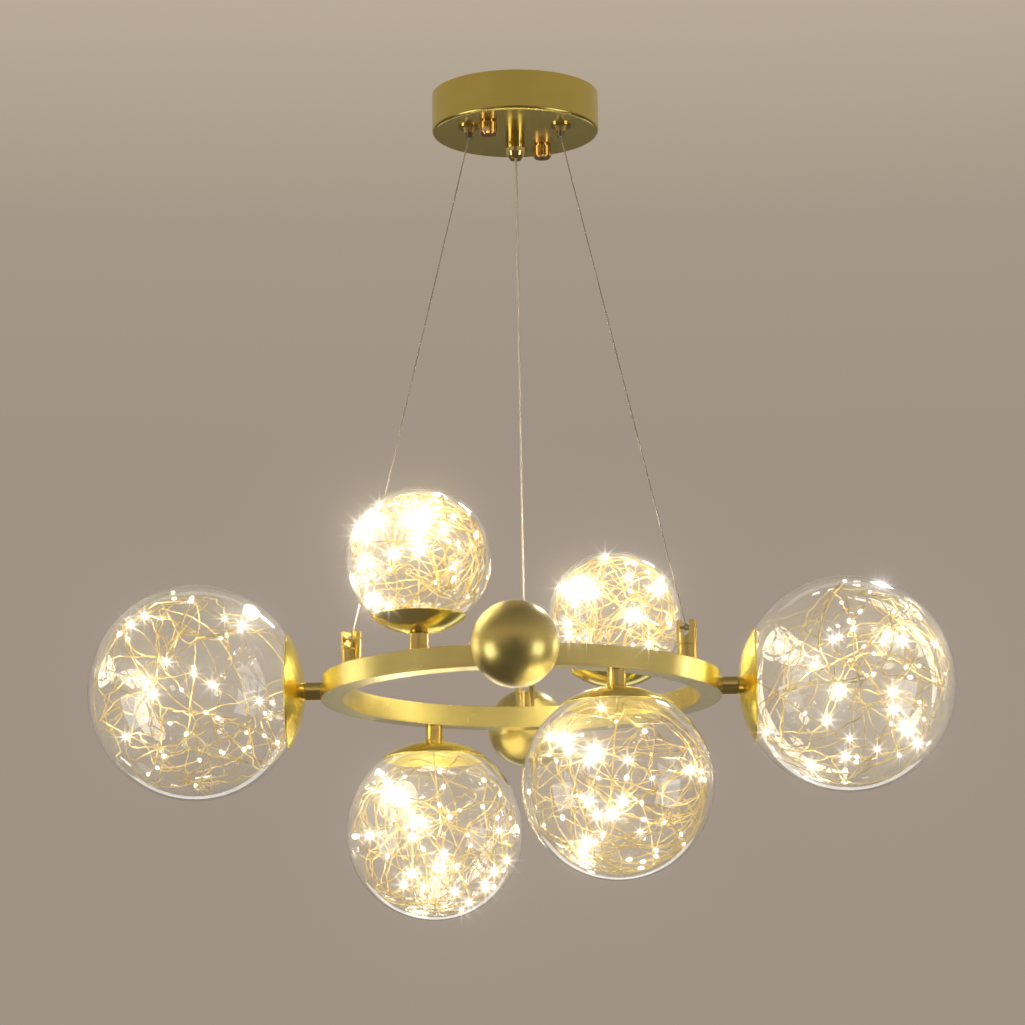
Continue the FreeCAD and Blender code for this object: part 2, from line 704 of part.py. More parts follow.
def ring_cover():
    """The flat cover under the channel, with two lips that locate it."""
    face = "-ring_height / 2"
    back = "-ring_height / 2 + cover_thickness"
    crest = "-ring_height / 2 + cover_thickness + lip_height"
    inner = f"{RING_INNER} + ring_wall + fit_clearance"
    outer = "ring_outer_radius - ring_wall - fit_clearance"
    cover = turned("cover", [
        (RING_INNER, face),
        ("ring_outer_radius", face),
        ("ring_outer_radius", back),
        (outer, back),
        (outer, crest),
        (f"{outer} - lip_thickness", crest),
        (f"{outer} - lip_thickness", back),
        (f"{inner} + lip_thickness", back),
        (f"{inner} + lip_thickness", crest),
        (inner, crest),
        (inner, back),
        (RING_INNER, back),
    ])
    put(cover, ("0", "0", RING_LEVEL))
    hole = "nipple_radius + running_clearance"
    holes = [
        hole_from_face(f"way_{name}", azimuth, way, hole, "2 * cover_thickness")
        for name, kind, azimuth, way in GLOBES
        if way == "down"
    ]
    return node(cut("bored_cover", cover, holes), "ring_cover")


def thread_insert(name, azimuth, way):
    """A threaded boss behind the ring's wall. For a lower globe it hangs from the channel's top."""
    start = {
        "out": "ring_wall + insert_play",
        "up": "ring_wall",
        "down": "ring_height - ring_wall - insert_height",
    }
    depth = f"({start[way]} + insert_height)"
    boss = cylinder(f"boss_{name}", "insert_radius", "insert_height", ("0", "0", f"-{depth}"))
    thread = cylinder(f"boss_thread_{name}", "nipple_radius + running_clearance", "insert_height",
                      ("0", "0", f"-{depth}"))
    return on_ring(cut(f"insert_{name}", boss, [thread]), azimuth, way)


def ring_thread_inserts():
    inserts = [thread_insert(name, azimuth, way) for name, kind, azimuth, way in GLOBES]
    inserts += [thread_insert(f"ball_{name}", azimuth, "out") for name, azimuth in BALLS]
    return node(group("inserts", inserts), "ring_thread_inserts")


def ring_harness():
    """The bundle of leads that feeds the globes, held along the channel's inner wall."""
    harness = DOC.addObject("Part::Torus", "harness")
    tie(harness, "Radius1", f"{RING_INNER} + ring_wall + harness_gap + harness_radius")
    tie(harness, "Radius2", "harness_radius")
    return node(put(harness, ("0", "0", f"{RING_LEVEL} - harness_drop")), "ring_harness")


# ---------------------------------------------------------------- wire posts


def post_place(thing, azimuth, slot, height="0"):
    """Puts a post's part, made along +Z with its slot along X, on top of the ring."""
    thing.Placement = FreeCAD.Placement(FreeCAD.Vector(), FreeCAD.Rotation(Z_AXIS, slot))
    return put(thing, on_circle(RING_MIDDLE, azimuth, f"{RING_TOP} + {height}"))


def bevelled_rod(name, radius, height):
    return turned(name, [
        ("0", "0"),
        (f"{radius} - post_chamfer", "0"),
        (radius, "post_chamfer"),
        (radius, f"{height} - post_chamfer"),
        (f"{radius} - post_chamfer", height),
        ("0", height),
    ])


def post_base(name, azimuth, slot):
    rod = bevelled_rod(f"base_rod_{name}", "post_base_radius", "post_base_height")
    socket = cylinder(f"base_socket_{name}", "spigot_radius + running_clearance", "2 * spigot_length",
                      ("0", "0", "post_base_height - spigot_length - running_clearance"))
    thread = cylinder(f"base_thread_{name}", "post_screw_radius + running_clearance",
                      "post_screw_length + running_clearance")
    holes = [socket, thread]
    if name == "back":
        holes.append(cylinder("base_cord_hole", "cord_hole_radius", "post_base_height",
                              ("-cord_offset", "0", "0")))
    return post_place(cut(f"post_base_{name}", rod, holes), azimuth, slot)


def post_head(name, azimuth, slot, height):
    """The slotted head. The slot's floor is round, and a pin crosses it near the top."""
    rod = bevelled_rod(f"head_rod_{name}", "post_head_radius", height)
    spigot = cylinder(f"spigot_{name}", "spigot_radius", "spigot_length", ("0", "0", "-spigot_length"))
    solid = fuse(f"head_solid_{name}", [rod, spigot])
    round_level = f"{height} - post_slot_depth + post_slot_width / 2"
    across = "3 * post_head_radius"
    open_slot = block(f"slot_{name}", across, "post_slot_width", "post_slot_depth", ("0", "0", round_level))
    floor = cylinder_along(f"slot_floor_{name}", X_AXIS, "post_slot_width / 2", across,
                           (f"-({across}) / 2", "0", round_level))
    pin_hole = cylinder_along(f"pin_hole_{name}", Y_AXIS, "pin_radius + running_clearance", across,
                              ("0", f"-({across}) / 2", f"{height} - pin_drop"))
    holes = [open_slot, floor, pin_hole]
    if name == "back":
        holes.append(cylinder("head_cord_hole", "cord_hole_radius", height, ("-cord_offset", "0", "0")))
    return post_place(cut(f"post_head_{name}", solid, holes), azimuth, slot, "post_base_height")


def cross_pin(name, azimuth, slot, height):
    length = "2 * post_head_radius - 2 * pin_recess"
    pin = cylinder_along(f"pin_rod_{name}", Y_AXIS, "pin_radius", length,
                         ("0", f"-({length}) / 2", f"{height} - pin_drop"))
    return post_place(group(f"pin_{name}", [pin]), azimuth, slot, "post_base_height")


def wire_terminal(name, azimuth, slot, head):
    """The ball on a wire's end that the cross pin passes through."""
    middle = pin_centre(azimuth, head)
    up = (wire_top(azimuth) - middle).normalize()
    pin_level = f"{RING_TOP} + post_base_height + {head} - pin_drop"
    at = on_circle(RING_MIDDLE, azimuth, pin_level)
    ball = sphere(f"terminal_ball_{name}", "terminal_ball_radius", at)
    side = FreeCAD.Rotation(Z_AXIS, slot).multVec(Y_AXIS)
    reach = 2 * size("terminal_ball_radius")
    pin_bore = line_between(f"terminal_cross_{name}", "pin_radius + running_clearance",
                            middle - side * reach, middle + side * reach)
    start = middle + up * (size("terminal_ball_radius") - size("wire_tuck") - size("fit_clearance"))
    wire_bore = line_between(f"terminal_bore_{name}", "terminal_bore_radius", start, middle + up * reach)
    return cut(f"wire_terminal_{name}", ball, [pin_bore, wire_bore])


def post_screw(name, azimuth):
    """The screw from inside the channel that holds a post down."""
    shank = cylinder(f"screw_shank_{name}", "post_screw_radius", "ring_wall + post_screw_length",
                     ("0", "0", "-ring_wall"))
    head = cylinder(f"screw_head_{name}", "post_screw_head_radius", "post_screw_head_height",
                    ("0", "0", "-ring_wall - post_screw_head_height"))
    screw = fuse(f"post_screw_{name}", [shank, head])
    return put(screw, on_circle(RING_MIDDLE, azimuth, RING_TOP))


def wire_posts():
    bases = [post_base(name, azimuth, slot) for name, azimuth, slot, head in POSTS]
    screws = [post_screw(name, azimuth) for name, azimuth, slot, head in POSTS]
    node(group("bases", bases), "post_bases")
    node(group("heads", [post_head(*post) for post in POSTS]), "post_heads")
    node(group("pins", [cross_pin(*post) for post in POSTS]), "post_cross_pins")
    node(group("terminals_on_pins", [wire_terminal(*post) for post in POSTS]), "wire_terminals")
    node(group("screws", screws), "post_screws")


def cord_tail():
    """The power cord's end, down through the back post into the channel."""
    top = tail_top()
    height = ring_top_height() - size("ring_wall") - size("cord_tail_reach")
    bottom = FreeCAD.Vector(top.x, top.y, height)
    return node(line_between("tail", "cord_radius", bottom, top), "power_cord_tail")


# ---------------------------------------------------------------- metal balls


def ball_stem(name, azimuth):
    shoulder = "ball_standoff + ball_seat_depth - seat_gap"
    stem = turned(f"ball_stem_{name}", [
        ("nipple_bore_radius", "-ring_wall - insert_height"),
        ("nipple_radius", "-ring_wall - insert_height"),
        ("nipple_radius", "seat_gap"),
        ("ball_stem_radius", "seat_gap"),
        ("ball_stem_radius", shoulder),
        ("nipple_radius", shoulder),
        ("nipple_radius", f"{shoulder} + ball_nipple_length"),
        ("nipple_bore_radius", f"{shoulder} + ball_nipple_length"),
    ])
    return on_ring(stem, azimuth, "out")


def metal_ball(name, azimuth):
    """A hollow spun ball with a flat seat and a hole for its stem."""
    middle = ("0", "0", "ball_standoff + ball_radius")
    outside = sphere(f"ball_outside_{name}", "ball_radius", middle)
    inside = sphere(f"ball_inside_{name}", "ball_radius - ball_wall", middle)
    seat = cylinder(f"ball_seat_{name}", "ball_stem_radius + fit_clearance", "ball_seat_depth",
                    ("0", "0", "ball_standoff"))
    hole = cylinder(f"ball_hole_{name}", "nipple_radius + running_clearance", "ball_radius",
                    ("0", "0", "ball_standoff"))
    return on_ring(cut(f"ball_{name}", outside, [inside, seat, hole]), azimuth, "out")


# ---------------------------------------------------------------- globes


def globe_stem(name, azimuth, way):
    """The stem that screws into the ring and carries one globe. A lower globe's nipple is longer."""
    inward = "ring_height - ring_wall - seat_gap" if way == "down" else "ring_wall + insert_height"
    shoulder = "globe_standoff - cap_gap - cap_thickness"
    stem = turned(f"stem_{name}", [
        ("nipple_bore_radius", f"-({inward})"),
        ("nipple_radius", f"-({inward})"),
        ("nipple_radius", "seat_gap"),
        ("stem_radius - stem_chamfer", "seat_gap"),
        ("stem_radius", "seat_gap + stem_chamfer"),
        ("stem_radius", f"{shoulder} - stem_chamfer"),
        ("stem_radius - stem_chamfer", shoulder),
        ("globe_nipple_radius", shoulder),
        ("globe_nipple_radius", f"{shoulder} + globe_nipple_length"),
        ("nipple_bore_radius", f"{shoulder} + globe_nipple_length"),
    ])
    return node(on_ring(stem, azimuth, way), f"globe_stem_{name}")


def globe_cap(name, kind, azimuth, way):
    """The shallow spun dish that covers the end of a globe."""
    middle = ("0", "0", f"globe_standoff + {kind}_radius")
    outside = sphere(f"cap_outside_{name}", f"{kind}_radius + cap_gap + cap_thickness", middle)
    inside = sphere(f"cap_inside_{name}", f"{kind}_radius + cap_gap", middle)
    shell = cut(f"cap_shell_{name}", outside, [inside])
    rim = cylinder(f"cap_rim_{name}", f"{kind}_cap_radius", f"globe_standoff + {kind}_radius")
    dish = common(f"cap_dish_{name}", shell, rim)
    hole = cylinder(f"cap_hole_{name}", "globe_nipple_radius + running_clearance", "2 * globe_standoff")
    return node(on_ring(cut(f"cap_{name}", dish, [hole]), azimuth, way), f"globe_cap_{name}")


def string_base(name, kind, azimuth, way):
    """The plastic plug that screws on the stem inside the glass and holds glass and cap."""
    bore = "globe_nipple_radius + running_clearance"
    dish = f"({kind}_radius + cap_gap)"
    dish_depth = f"sqrt({dish} * {dish} - base_neck_radius * base_neck_radius)"
    foot = f"globe_standoff + {kind}_radius - {dish_depth} + running_clearance"
    neck_top = "globe_standoff + glass_wall + base_rise"
    nipple_end = "globe_standoff - cap_gap - cap_thickness + globe_nipple_length + seat_gap"
    plug = turned(f"base_{name}", [
        (bore, foot),
        ("base_neck_radius", foot),
        ("base_neck_radius", neck_top),
        ("base_head_radius", neck_top),
        ("base_head_radius", f"{neck_top} + base_head_height - stem_chamfer"),
        ("base_head_radius - stem_chamfer", f"{neck_top} + base_head_height"),
        ("0", f"{neck_top} + base_head_height"),
        ("0", nipple_end),
        (bore, nipple_end),
    ])
    return node(on_ring(plug, azimuth, way), f"string_base_{name}")


def glass_globe(name, kind, azimuth, way):
    middle = ("0", "0", f"globe_standoff + {kind}_radius")
    outside = sphere(f"glass_outside_{name}", f"{kind}_radius", middle)
    inside = sphere(f"glass_inside_{name}", f"{kind}_radius - glass_wall", middle)
    mouth = cylinder(f"glass_mouth_{name}", "mouth_radius", f"globe_standoff + {kind}_radius")
    return node(on_ring(cut(f"glass_{name}", outside, [inside, mouth]), azimuth, way), f"glass_globe_{name}")


# ---------------------------------------------------------------- light strings


class Winding:
    """A ball of loops about the globe's middle. Each loop is tilted by the same angle and turned
    past the last one, and the radius grows steadily, so that loops cross without touching."""

    def __init__(self, kind):
        self.loops = int(size(f"{kind}_loops"))
        self.first = size(f"{kind}_first_loop")
        self.last = size(f"{kind}_radius") - size("winding_margin")
        self.lean = math.radians(size("loop_tilt"))
        self.step = math.radians(size("loop_step"))

    def point(self, turns):
        swing = self.step * turns
        along = FreeCAD.Vector(math.cos(swing), math.sin(swing), 0)
        flat = FreeCAD.Vector(-math.sin(swing), math.cos(swing), 0)
        climb = flat * math.cos(self.lean) + Z_AXIS * math.sin(self.lean)
        radius = self.first + (self.last - self.first) * turns / self.loops
        angle = 2 * math.pi * turns
        return (along * math.cos(angle) + climb * math.sin(angle)) * radius

    def heading(self, turns):
        near = 1e-4
        return (self.point(turns + near) - self.point(turns - near)).normalize()


def biarc(start, leaving, end, arriving):
    """Two arcs that join two points smoothly, each as (start, its heading, end)."""
    chord = end - start
    square = 2 * (leaving.dot(arriving) - 1)
    linear = -2 * chord.dot(leaving + arriving)
    rest = chord.dot(chord)
    root = math.sqrt(linear * linear - 4 * square * rest)
    reach = max((-linear + root) / (2 * square), (-linear - root) / (2 * square))
    first = start + leaving * reach
    second = end - arriving * reach
    join = (first + second) * 0.5
    return [(start, leaving, join), (join, (second - first).normalize(), end)]


def arc_points(start, heading, end, count):
    """Points on the arc that leaves start along heading and arrives at end."""
    chord = end - start
    across = heading.cross(chord).cross(heading).normalize()
    radius = chord.dot(chord) / (2 * chord.dot(across))
    middle = start + across * radius
    sweep = 2 * math.atan2(chord.dot(across), chord.dot(heading))
    points = []
    for i in range(count + 1):
        angle = sweep * i / count
        points.append(middle - across * radius * math.cos(angle) + heading * radius * math.sin(angle))
    return points


def winding_arcs(winding, lead):
    """The string's line: straight out of its base, over to the first loop, and round the loops."""
    out = FreeCAD.Vector(0, 0, -lead)
    straight_end = out + Z_AXIS * 2 * size("string_radius")
    arcs = biarc(straight_end, Z_AXIS, winding.point(0), winding.heading(0))
    for half in range(2 * winding.loops):
        here = half / 2
        there = (half + 1) / 2
        arcs += biarc(
            winding.point(here), winding.heading(here), winding.point(there), winding.heading(there)
        )
    return out, straight_end, arcs


class SpacePoints:
    """Points along the string, kept by the cube of space that they lie in."""

    spacing = 0.8
    cube = 5.0
    around = [(i, j, k) for i in (-1, 0, 1) for j in (-1, 0, 1) for k in (-1, 0, 1)]

    def __init__(self, arcs):
        self.cubes = {}
        self.length = 0.0
        for start, heading, end in arcs:
            length = Part.Arc(*arc_points(start, heading, end, 2)).length()
            count = max(2, int(length / self.spacing))
            for i, point in enumerate(arc_points(start, heading, end, count)[:-1]):
                along = self.length + length * i / count
                self.cubes.setdefault(self.key(point), []).append((along, point))
            self.length += length

    def key(self, point):
        return tuple(int(c // self.cube) for c in point)

    def beside(self, point):
        a, b, c = self.key(point)
        return [item for i, j, k in self.around for item in self.cubes.get((a + i, b + j, c + k), [])]

    def least_gap(self):
        """The least distance between two stretches of the string, less its thickness."""
        same_stretch = 12.0
        least = self.cube
        for items in self.cubes.values():
            others = self.beside(items[0][1])
            for along, point in items:
                for other_along, other in others:
                    if other_along - along > same_stretch:
                        least = min(least, point.distanceToPoint(other))
        return least - 2 * size("string_radius")

    def is_clear(self, point, reach):
        return all(point.distanceToPoint(other) > reach for along, other in self.beside(point))


def bead_places(winding, arcs, string_points):
    """Where the beads sit: just inside the outer loops, where no other loop passes."""
    count = int(size("beads_per_string"))
    outer_share = 0.5
    touching = size("string_radius") + size("bead_radius")
    inwards = touching + size("bead_gap")
    places = []
    first = len(arcs) - int(outer_share * 4 * winding.loops)
    for i in range(count):
        spot = first + i * (len(arcs) - first) // count
        for start, heading, end in arcs[spot:]:
            on_wire = arc_points(start, heading, end, 2)[1]
            place = on_wire - FreeCAD.Vector(on_wire).normalize() * inwards
            if string_points.is_clear(place, touching) and place not in places:
                places.append(place)
                break
    return places


def string_ball(name, kind, azimuth, way):
    """A large globe's light string as a thin ball: the outer shape of its wound wire."""
    middle = ("0", "0", f"globe_standoff + {kind}_radius")
    reach = f"{kind}_radius - winding_margin + string_radius"
    outside = sphere(f"string_outside_{name}", reach, middle)
    inside = sphere(f"string_inside_{name}", f"{reach} - string_ball_wall", middle)
    mouth = cylinder(f"string_mouth_{name}", "mouth_radius", f"globe_standoff + {kind}_radius")
    ball = cut(f"string_{name}", outside, [inside, mouth])
    return node(on_ring(ball, azimuth, way), f"light_string_{name}")


def light_string(name, kind, azimuth, way):
    """One copper light string and its beads, made about the globe's middle."""
    winding = Winding(kind)
    base_front = size("glass_wall") + size("base_rise") + size("base_head_height")
    out, straight_end, arcs = winding_arcs(winding, size(f"{kind}_radius") - base_front)
    string_points = SpacePoints(arcs)
    gap = string_points.least_gap()
    print(f"{name}: {winding.loops} loops, {string_points.length:.0f} mm, least gap {gap:.2f} mm")
    edges = [Part.LineSegment(out, straight_end).toShape()]
    edges += [Part.Arc(*arc_points(*arc, 2)).toShape() for arc in arcs]
    profile = Part.Wire([Part.Circle(out, Z_AXIS, size("string_radius")).toShape()])
    tube = Part.Wire(edges).makePipeShell([profile], True, False)
    places = bead_places(winding, arcs, string_points)
    beads = [Part.makeSphere(size("bead_radius"), place) for place in places]
    string = Part.makeCompound([tube] + beads)
    string.translate(Z_AXIS * (size("globe_standoff") + size(f"{kind}_radius")))
    thing = DOC.addObject("Part::Feature", f"string_{name}")
    thing.Shape = Part.makeCompound([string])
    return node(on_ring(thing, azimuth, way), f"light_string_{name}")


# ---------------------------------------------------------------- the whole lamp

mounting_bracket()
bracket_studs()
canopy_cup()
hand_nut("left", 180)
hand_nut("right", 0)
led_driver()
terminal_block()
cord_gland()
gland_lock_nuts()
gripper_bodies()
for name, azimuth, slot, head in POSTS:
    gripper_plunger(name, azimuth)
    suspension_wire(name, azimuth, head)
power_cord()

ring_channel()
ring_cover()
ring_thread_inserts()
ring_harness()
wire_posts()
cord_tail()
node(group("ball_stems", [ball_stem(name, azimuth) for name, azimuth in BALLS]), "ball_stems")
for name, azimuth in BALLS:
    node(metal_ball(name, azimuth), f"metal_ball_{name}")
for name, kind, azimuth, way in GLOBES:
    globe_stem(name, azimuth, way)
    globe_cap(name, kind, azimuth, way)
    string_base(name, kind, azimuth, way)
    glass_globe(name, kind, azimuth, way)
    if kind == "large":
        string_ball(name, kind, azimuth, way)
    else:
        light_string(name, kind, azimuth, way)

DOC.recompute()
for thing in DOC.Objects:
    if "Invalid" in thing.State or "Error" in thing.State:
        raise ValueError(f"{thing.Label} failed: {thing.State}")
os.makedirs("parts", exist_ok=True)
for thing in NODES:
    if thing.Shape.isNull() or not thing.Shape.isValid():
        raise ValueError(f"{thing.Label} has no sound shape")
    thing.Shape.exportStep(f"parts/{thing.Label}.step")
print(f"{len(NODES)} nodes")
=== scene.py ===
import math
import random

import bpy
from mathutils import Matrix, Vector


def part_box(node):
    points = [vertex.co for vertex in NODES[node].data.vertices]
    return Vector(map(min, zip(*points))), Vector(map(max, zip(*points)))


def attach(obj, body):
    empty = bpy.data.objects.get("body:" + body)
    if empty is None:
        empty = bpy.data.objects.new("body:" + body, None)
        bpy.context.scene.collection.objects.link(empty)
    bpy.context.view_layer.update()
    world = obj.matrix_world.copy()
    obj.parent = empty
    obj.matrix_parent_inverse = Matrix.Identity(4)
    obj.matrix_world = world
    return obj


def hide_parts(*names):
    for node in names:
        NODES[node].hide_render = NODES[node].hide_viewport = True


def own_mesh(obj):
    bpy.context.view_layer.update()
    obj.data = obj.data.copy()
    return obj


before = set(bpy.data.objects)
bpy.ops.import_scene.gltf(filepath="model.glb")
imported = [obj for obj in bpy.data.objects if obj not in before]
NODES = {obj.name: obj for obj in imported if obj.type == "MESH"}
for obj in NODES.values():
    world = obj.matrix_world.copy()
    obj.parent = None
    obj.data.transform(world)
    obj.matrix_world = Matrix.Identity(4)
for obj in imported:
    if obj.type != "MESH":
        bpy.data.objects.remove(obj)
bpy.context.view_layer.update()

# Looks of the orb chandelier: finishes, blown glass, loose light strings and their glow. Metres, in
# the part's own frame. Lengths given with MM are millimetres of the real lamp.

MM = 0.001

# Each globe's name, kind, azimuth round the ring in degrees, and the way it points from the ring.
GLOBES = [
    ("right", "large", 0, "out"),
    ("left", "large", 180, "out"),
    ("upper_back", "small", 60, "up"),
    ("upper_front", "small", 240, "up"),
    ("lower_back", "medium", 120, "down"),
    ("lower_front", "medium", 300, "down"),
]
# Each plain ball's name and azimuth round the ring.
BALLS = [("back", 90), ("front", 270)]
POSTS = ["back", "left", "right"]


def box_size(node):
    low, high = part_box(node)
    return high - low


RING_OUTER = box_size("ring_channel").x / 2
RING_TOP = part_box("ring_channel")[1].z
RING_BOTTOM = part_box("ring_cover")[0].z
RING_LEVEL = (RING_TOP + RING_BOTTOM) / 2
RING_WIDTH = 20 * MM

# ---------------------------------------------------------------- camera and light


def make_camera():
    """The photograph's viewpoint: 3.7 m away and 0.6 m below the ring, looking up."""
    focal_pixels = 4036.2
    picture_side = 1025
    sensor = 36
    spot = Vector((-0.0065, -3.6806, RING_LEVEL - 0.6154))
    pitch = math.radians(11.99)
    roll = math.radians(-0.61)
    lamp_turn = Matrix.Rotation(math.radians(1.3), 4, "Z")
    ahead = Vector((0, math.cos(pitch), math.sin(pitch)))
    level_up = Vector((0, -math.sin(pitch), math.cos(pitch)))
    level_right = Vector((1, 0, 0))
    right = level_right * math.cos(roll) + level_up * math.sin(roll)
    up = level_up * math.cos(roll) - level_right * math.sin(roll)
    data = bpy.data.cameras.new("camera")
    data.sensor_width = sensor
    data.lens = sensor * focal_pixels / picture_side
    data.clip_start = 0.1
    data.clip_end = 200
    camera = bpy.data.objects.new("camera", data)
    bpy.context.scene.collection.objects.link(camera)
    turned = Matrix([right, up, -ahead]).transposed().to_4x4()
    turned.translation = spot
    camera.matrix_world = lamp_turn @ turned
    bpy.context.scene.camera = camera


def area_light(name, spot, size, power, colour):
    data = bpy.data.lights.new(name, "AREA")
    data.shape = "RECTANGLE"
    data.size, data.size_y = size
    data.energy = power
    data.color = colour
    light = bpy.data.objects.new(name, data)
    bpy.context.scene.collection.objects.link(light)
    light.location = spot
    aim = Vector((0, 0, RING_LEVEL)) - Vector(spot)
    light.rotation_mode = "QUATERNION"
    light.rotation_quaternion = aim.to_track_quat("-Z", "Y")


def make_surround():
    """A warm grey room, lighter towards the ceiling. Reflections also show its dark lower part and
    its dark end behind the photographer, which the plain backdrop of a view leaves out."""
    world = bpy.data.worlds.new("surround")
    bpy.context.scene.world = world
    world.use_nodes = True
    tree = world.node_tree
    tree.nodes.clear()

    def add(kind, **settings):
        node = tree.nodes.new(kind)
        for name, value in settings.items():
            setattr(node, name, value)
        return node

    def smooth(source, start, end):
        node = add("ShaderNodeMapRange", interpolation_type="SMOOTHSTEP")
        node.inputs["From Min"].default_value = start
        node.inputs["From Max"].default_value = end
        tree.links.new(source, node.inputs["Value"])
        return node.outputs["Result"]

    def maths(operation, *sources):
        node = add("ShaderNodeMath", operation=operation)
        for socket, source in zip(node.inputs, sources):
            tree.links.new(source, socket)
        return node.outputs["Value"]

    split = add("ShaderNodeSeparateXYZ")
    tree.links.new(add("ShaderNodeTexCoord").outputs["Generated"], split.inputs[0])
    x, y, z = split.outputs
    ramp = add("ShaderNodeValToRGB")
    # How far up the way looked points, from 0, level, to 1, straight up, and the room's colour there.
    levels = [
        (0.225, (0.352, 0.289, 0.234)),
        (0.277, (0.378, 0.314, 0.248)),
        (0.34, (0.51, 0.43, 0.33)),
        (0.55, (0.30, 0.25, 0.20)),
        (1.0, (0.15, 0.125, 0.10)),
    ]
    elements = ramp.color_ramp.elements
    for height, colour in levels[1:-1]:
        elements.new(height)
    for element, (height, colour) in zip(elements, levels):
        element.position = height
        element.color = (*colour, 1)
    tree.links.new(z, ramp.inputs["Fac"])
    # Where the room beside, above and ahead of the photographer starts and is full, and where its
    # dark lower part ends.
    beside = smooth(maths("ABSOLUTE", x), start=0.10, end=0.45)
    above = smooth(z, start=0.0, end=0.28)
    ahead = smooth(y, start=-0.6, end=-0.2)
    level = smooth(z, start=-0.3, end=0.06)
    open_room = maths("MINIMUM", maths("MAXIMUM", maths("MAXIMUM", beside, above), ahead), level)
    path = add("ShaderNodeLightPath")
    seen = maths("MAXIMUM", path.outputs["Is Camera Ray"], path.outputs["Is Transmission Ray"])
    background = add("ShaderNodeBackground")
    strength = add("ShaderNodeMapRange")
    dark_strength = 0.25
    strength.inputs["To Min"].default_value = dark_strength
    tree.links.new(maths("MAXIMUM", open_room, seen), strength.inputs["Value"])
    tree.links.new(ramp.outputs["Color"], background.inputs["Color"])
    tree.links.new(strength.outputs["Result"], background.inputs["Strength"])
    tree.links.new(background.outputs[0], add("ShaderNodeOutputWorld").inputs["Surface"])


def make_studio():
    """Soft boxes left, right and low behind, two narrow strips high behind and a pale floor."""
    white = (0.97, 0.98, 1.0)
    side_box, rim_box, strip = (1.3, 1.2), (3.2, 0.5), (0.09, 0.40)
    area_light("left_box", (-2.3, -0.95, -1.3), side_box, power=13, colour=white)
    area_light("right_box", (2.2, -1.2, -1.25), side_box, power=11, colour=white)
    area_light("rim_box", (0, 2.4, -1.6), rim_box, power=5, colour=white)
    for aside, height in ((0.90, 1.22), (1.04, 1.34)):
        area_light("back_strip", (aside, 2.1, height), strip, power=4, colour=white)
    floor_drop = 1.4
    floor_half = 40
    floor = new_object(
        "floor",
        [(x * floor_half, y * floor_half, RING_BOTTOM - floor_drop)
         for x, y in ((-1, -1), (1, -1), (1, 1), (-1, 1))],
        [(0, 1, 2, 3)],
        FLOOR_PAINT,
    )
    floor.visible_glossy = False


def make_glow():
    """Lens glow: short rays on the brightest lights and a soft halo round them all."""
    scene = bpy.context.scene
    scene.view_settings.view_transform = "Standard"
    scene.use_nodes = True
    tree = scene.node_tree
    tree.nodes.clear()

    def glare(kind, source, **settings):
        node = tree.nodes.new("CompositorNodeGlare")
        node.glare_type = kind
        node.quality = "HIGH"
        for name, value in settings.items():
            node.inputs[name].default_value = value
        tree.links.new(source, node.inputs["Image"])
        return node.outputs["Image"]

    picture = tree.nodes.new("CompositorNodeRLayers").outputs["Image"]
    rays = glare("STREAKS", picture, Threshold=5.0, Strength=2.6, Streaks=8, Iterations=3, Fade=0.78)
    halo = glare("BLOOM", rays, Threshold=1.5, Strength=1.3, Size=0.15)
    tree.links.new(halo, tree.nodes.new("CompositorNodeComposite").inputs["Image"])


# ---------------------------------------------------------------- materials


class Paint:
    """A new node material with one Principled shader."""

    def __init__(self, name, colour, roughness, metallic=0.0):
        self.material = bpy.data.materials.new(name)
        self.material.use_nodes = True
        self.tree = self.material.node_tree
        self.shader = next(n for n in self.tree.nodes if n.type == "BSDF_PRINCIPLED")
        self.set("Base Color", (*colour, 1))
        self.set("Roughness", roughness)
        self.set("Metallic", metallic)

    def set(self, socket, value):
        self.shader.inputs[socket].default_value = value

    def add(self, kind, **values):
        node = self.tree.nodes.new(kind)
        for name, value in values.items():
            node.inputs[name.replace("_", " ")].default_value = value
        return node

    def link(self, source, target):
        self.tree.links.new(source, target)

    def object_point(self, stretch):
        where = self.add("ShaderNodeTexCoord")
        scale = self.tree.nodes.new("ShaderNodeMapping")
        scale.inputs["Scale"].default_value = stretch
        self.link(where.outputs["Object"], scale.inputs["Vector"])
        return scale.outputs["Vector"]

    def noise(self, scale, detail, stretch=(1, 1, 1)):
        node = self.add("ShaderNodeTexNoise", Scale=scale, Detail=detail)
        self.link(self.object_point(stretch), node.inputs["Vector"])
        return node.outputs["Fac"]

    def ramp(self, factor, low, high):
        node = self.tree.nodes.new("ShaderNodeValToRGB")
        for element, position, colour in zip(node.color_ramp.elements, (0.3, 0.7), (low, high)):
            element.position = position
            element.color = (*colour, 1)
        self.link(factor, node.inputs["Fac"])
        return node.outputs["Color"]

    def between(self, factor, low, high):
        node = self.tree.nodes.new("ShaderNodeMapRange")
        node.inputs["To Min"].default_value = low
        node.inputs["To Max"].default_value = high
        self.link(factor, node.inputs["Value"])
        return node.outputs["Result"]

    def bump(self, height, strength, distance):
        node = self.add("ShaderNodeBump", Strength=strength, Distance=distance)
        self.link(height, node.inputs["Height"])
        self.link(node.outputs["Normal"], self.shader.inputs["Normal"])


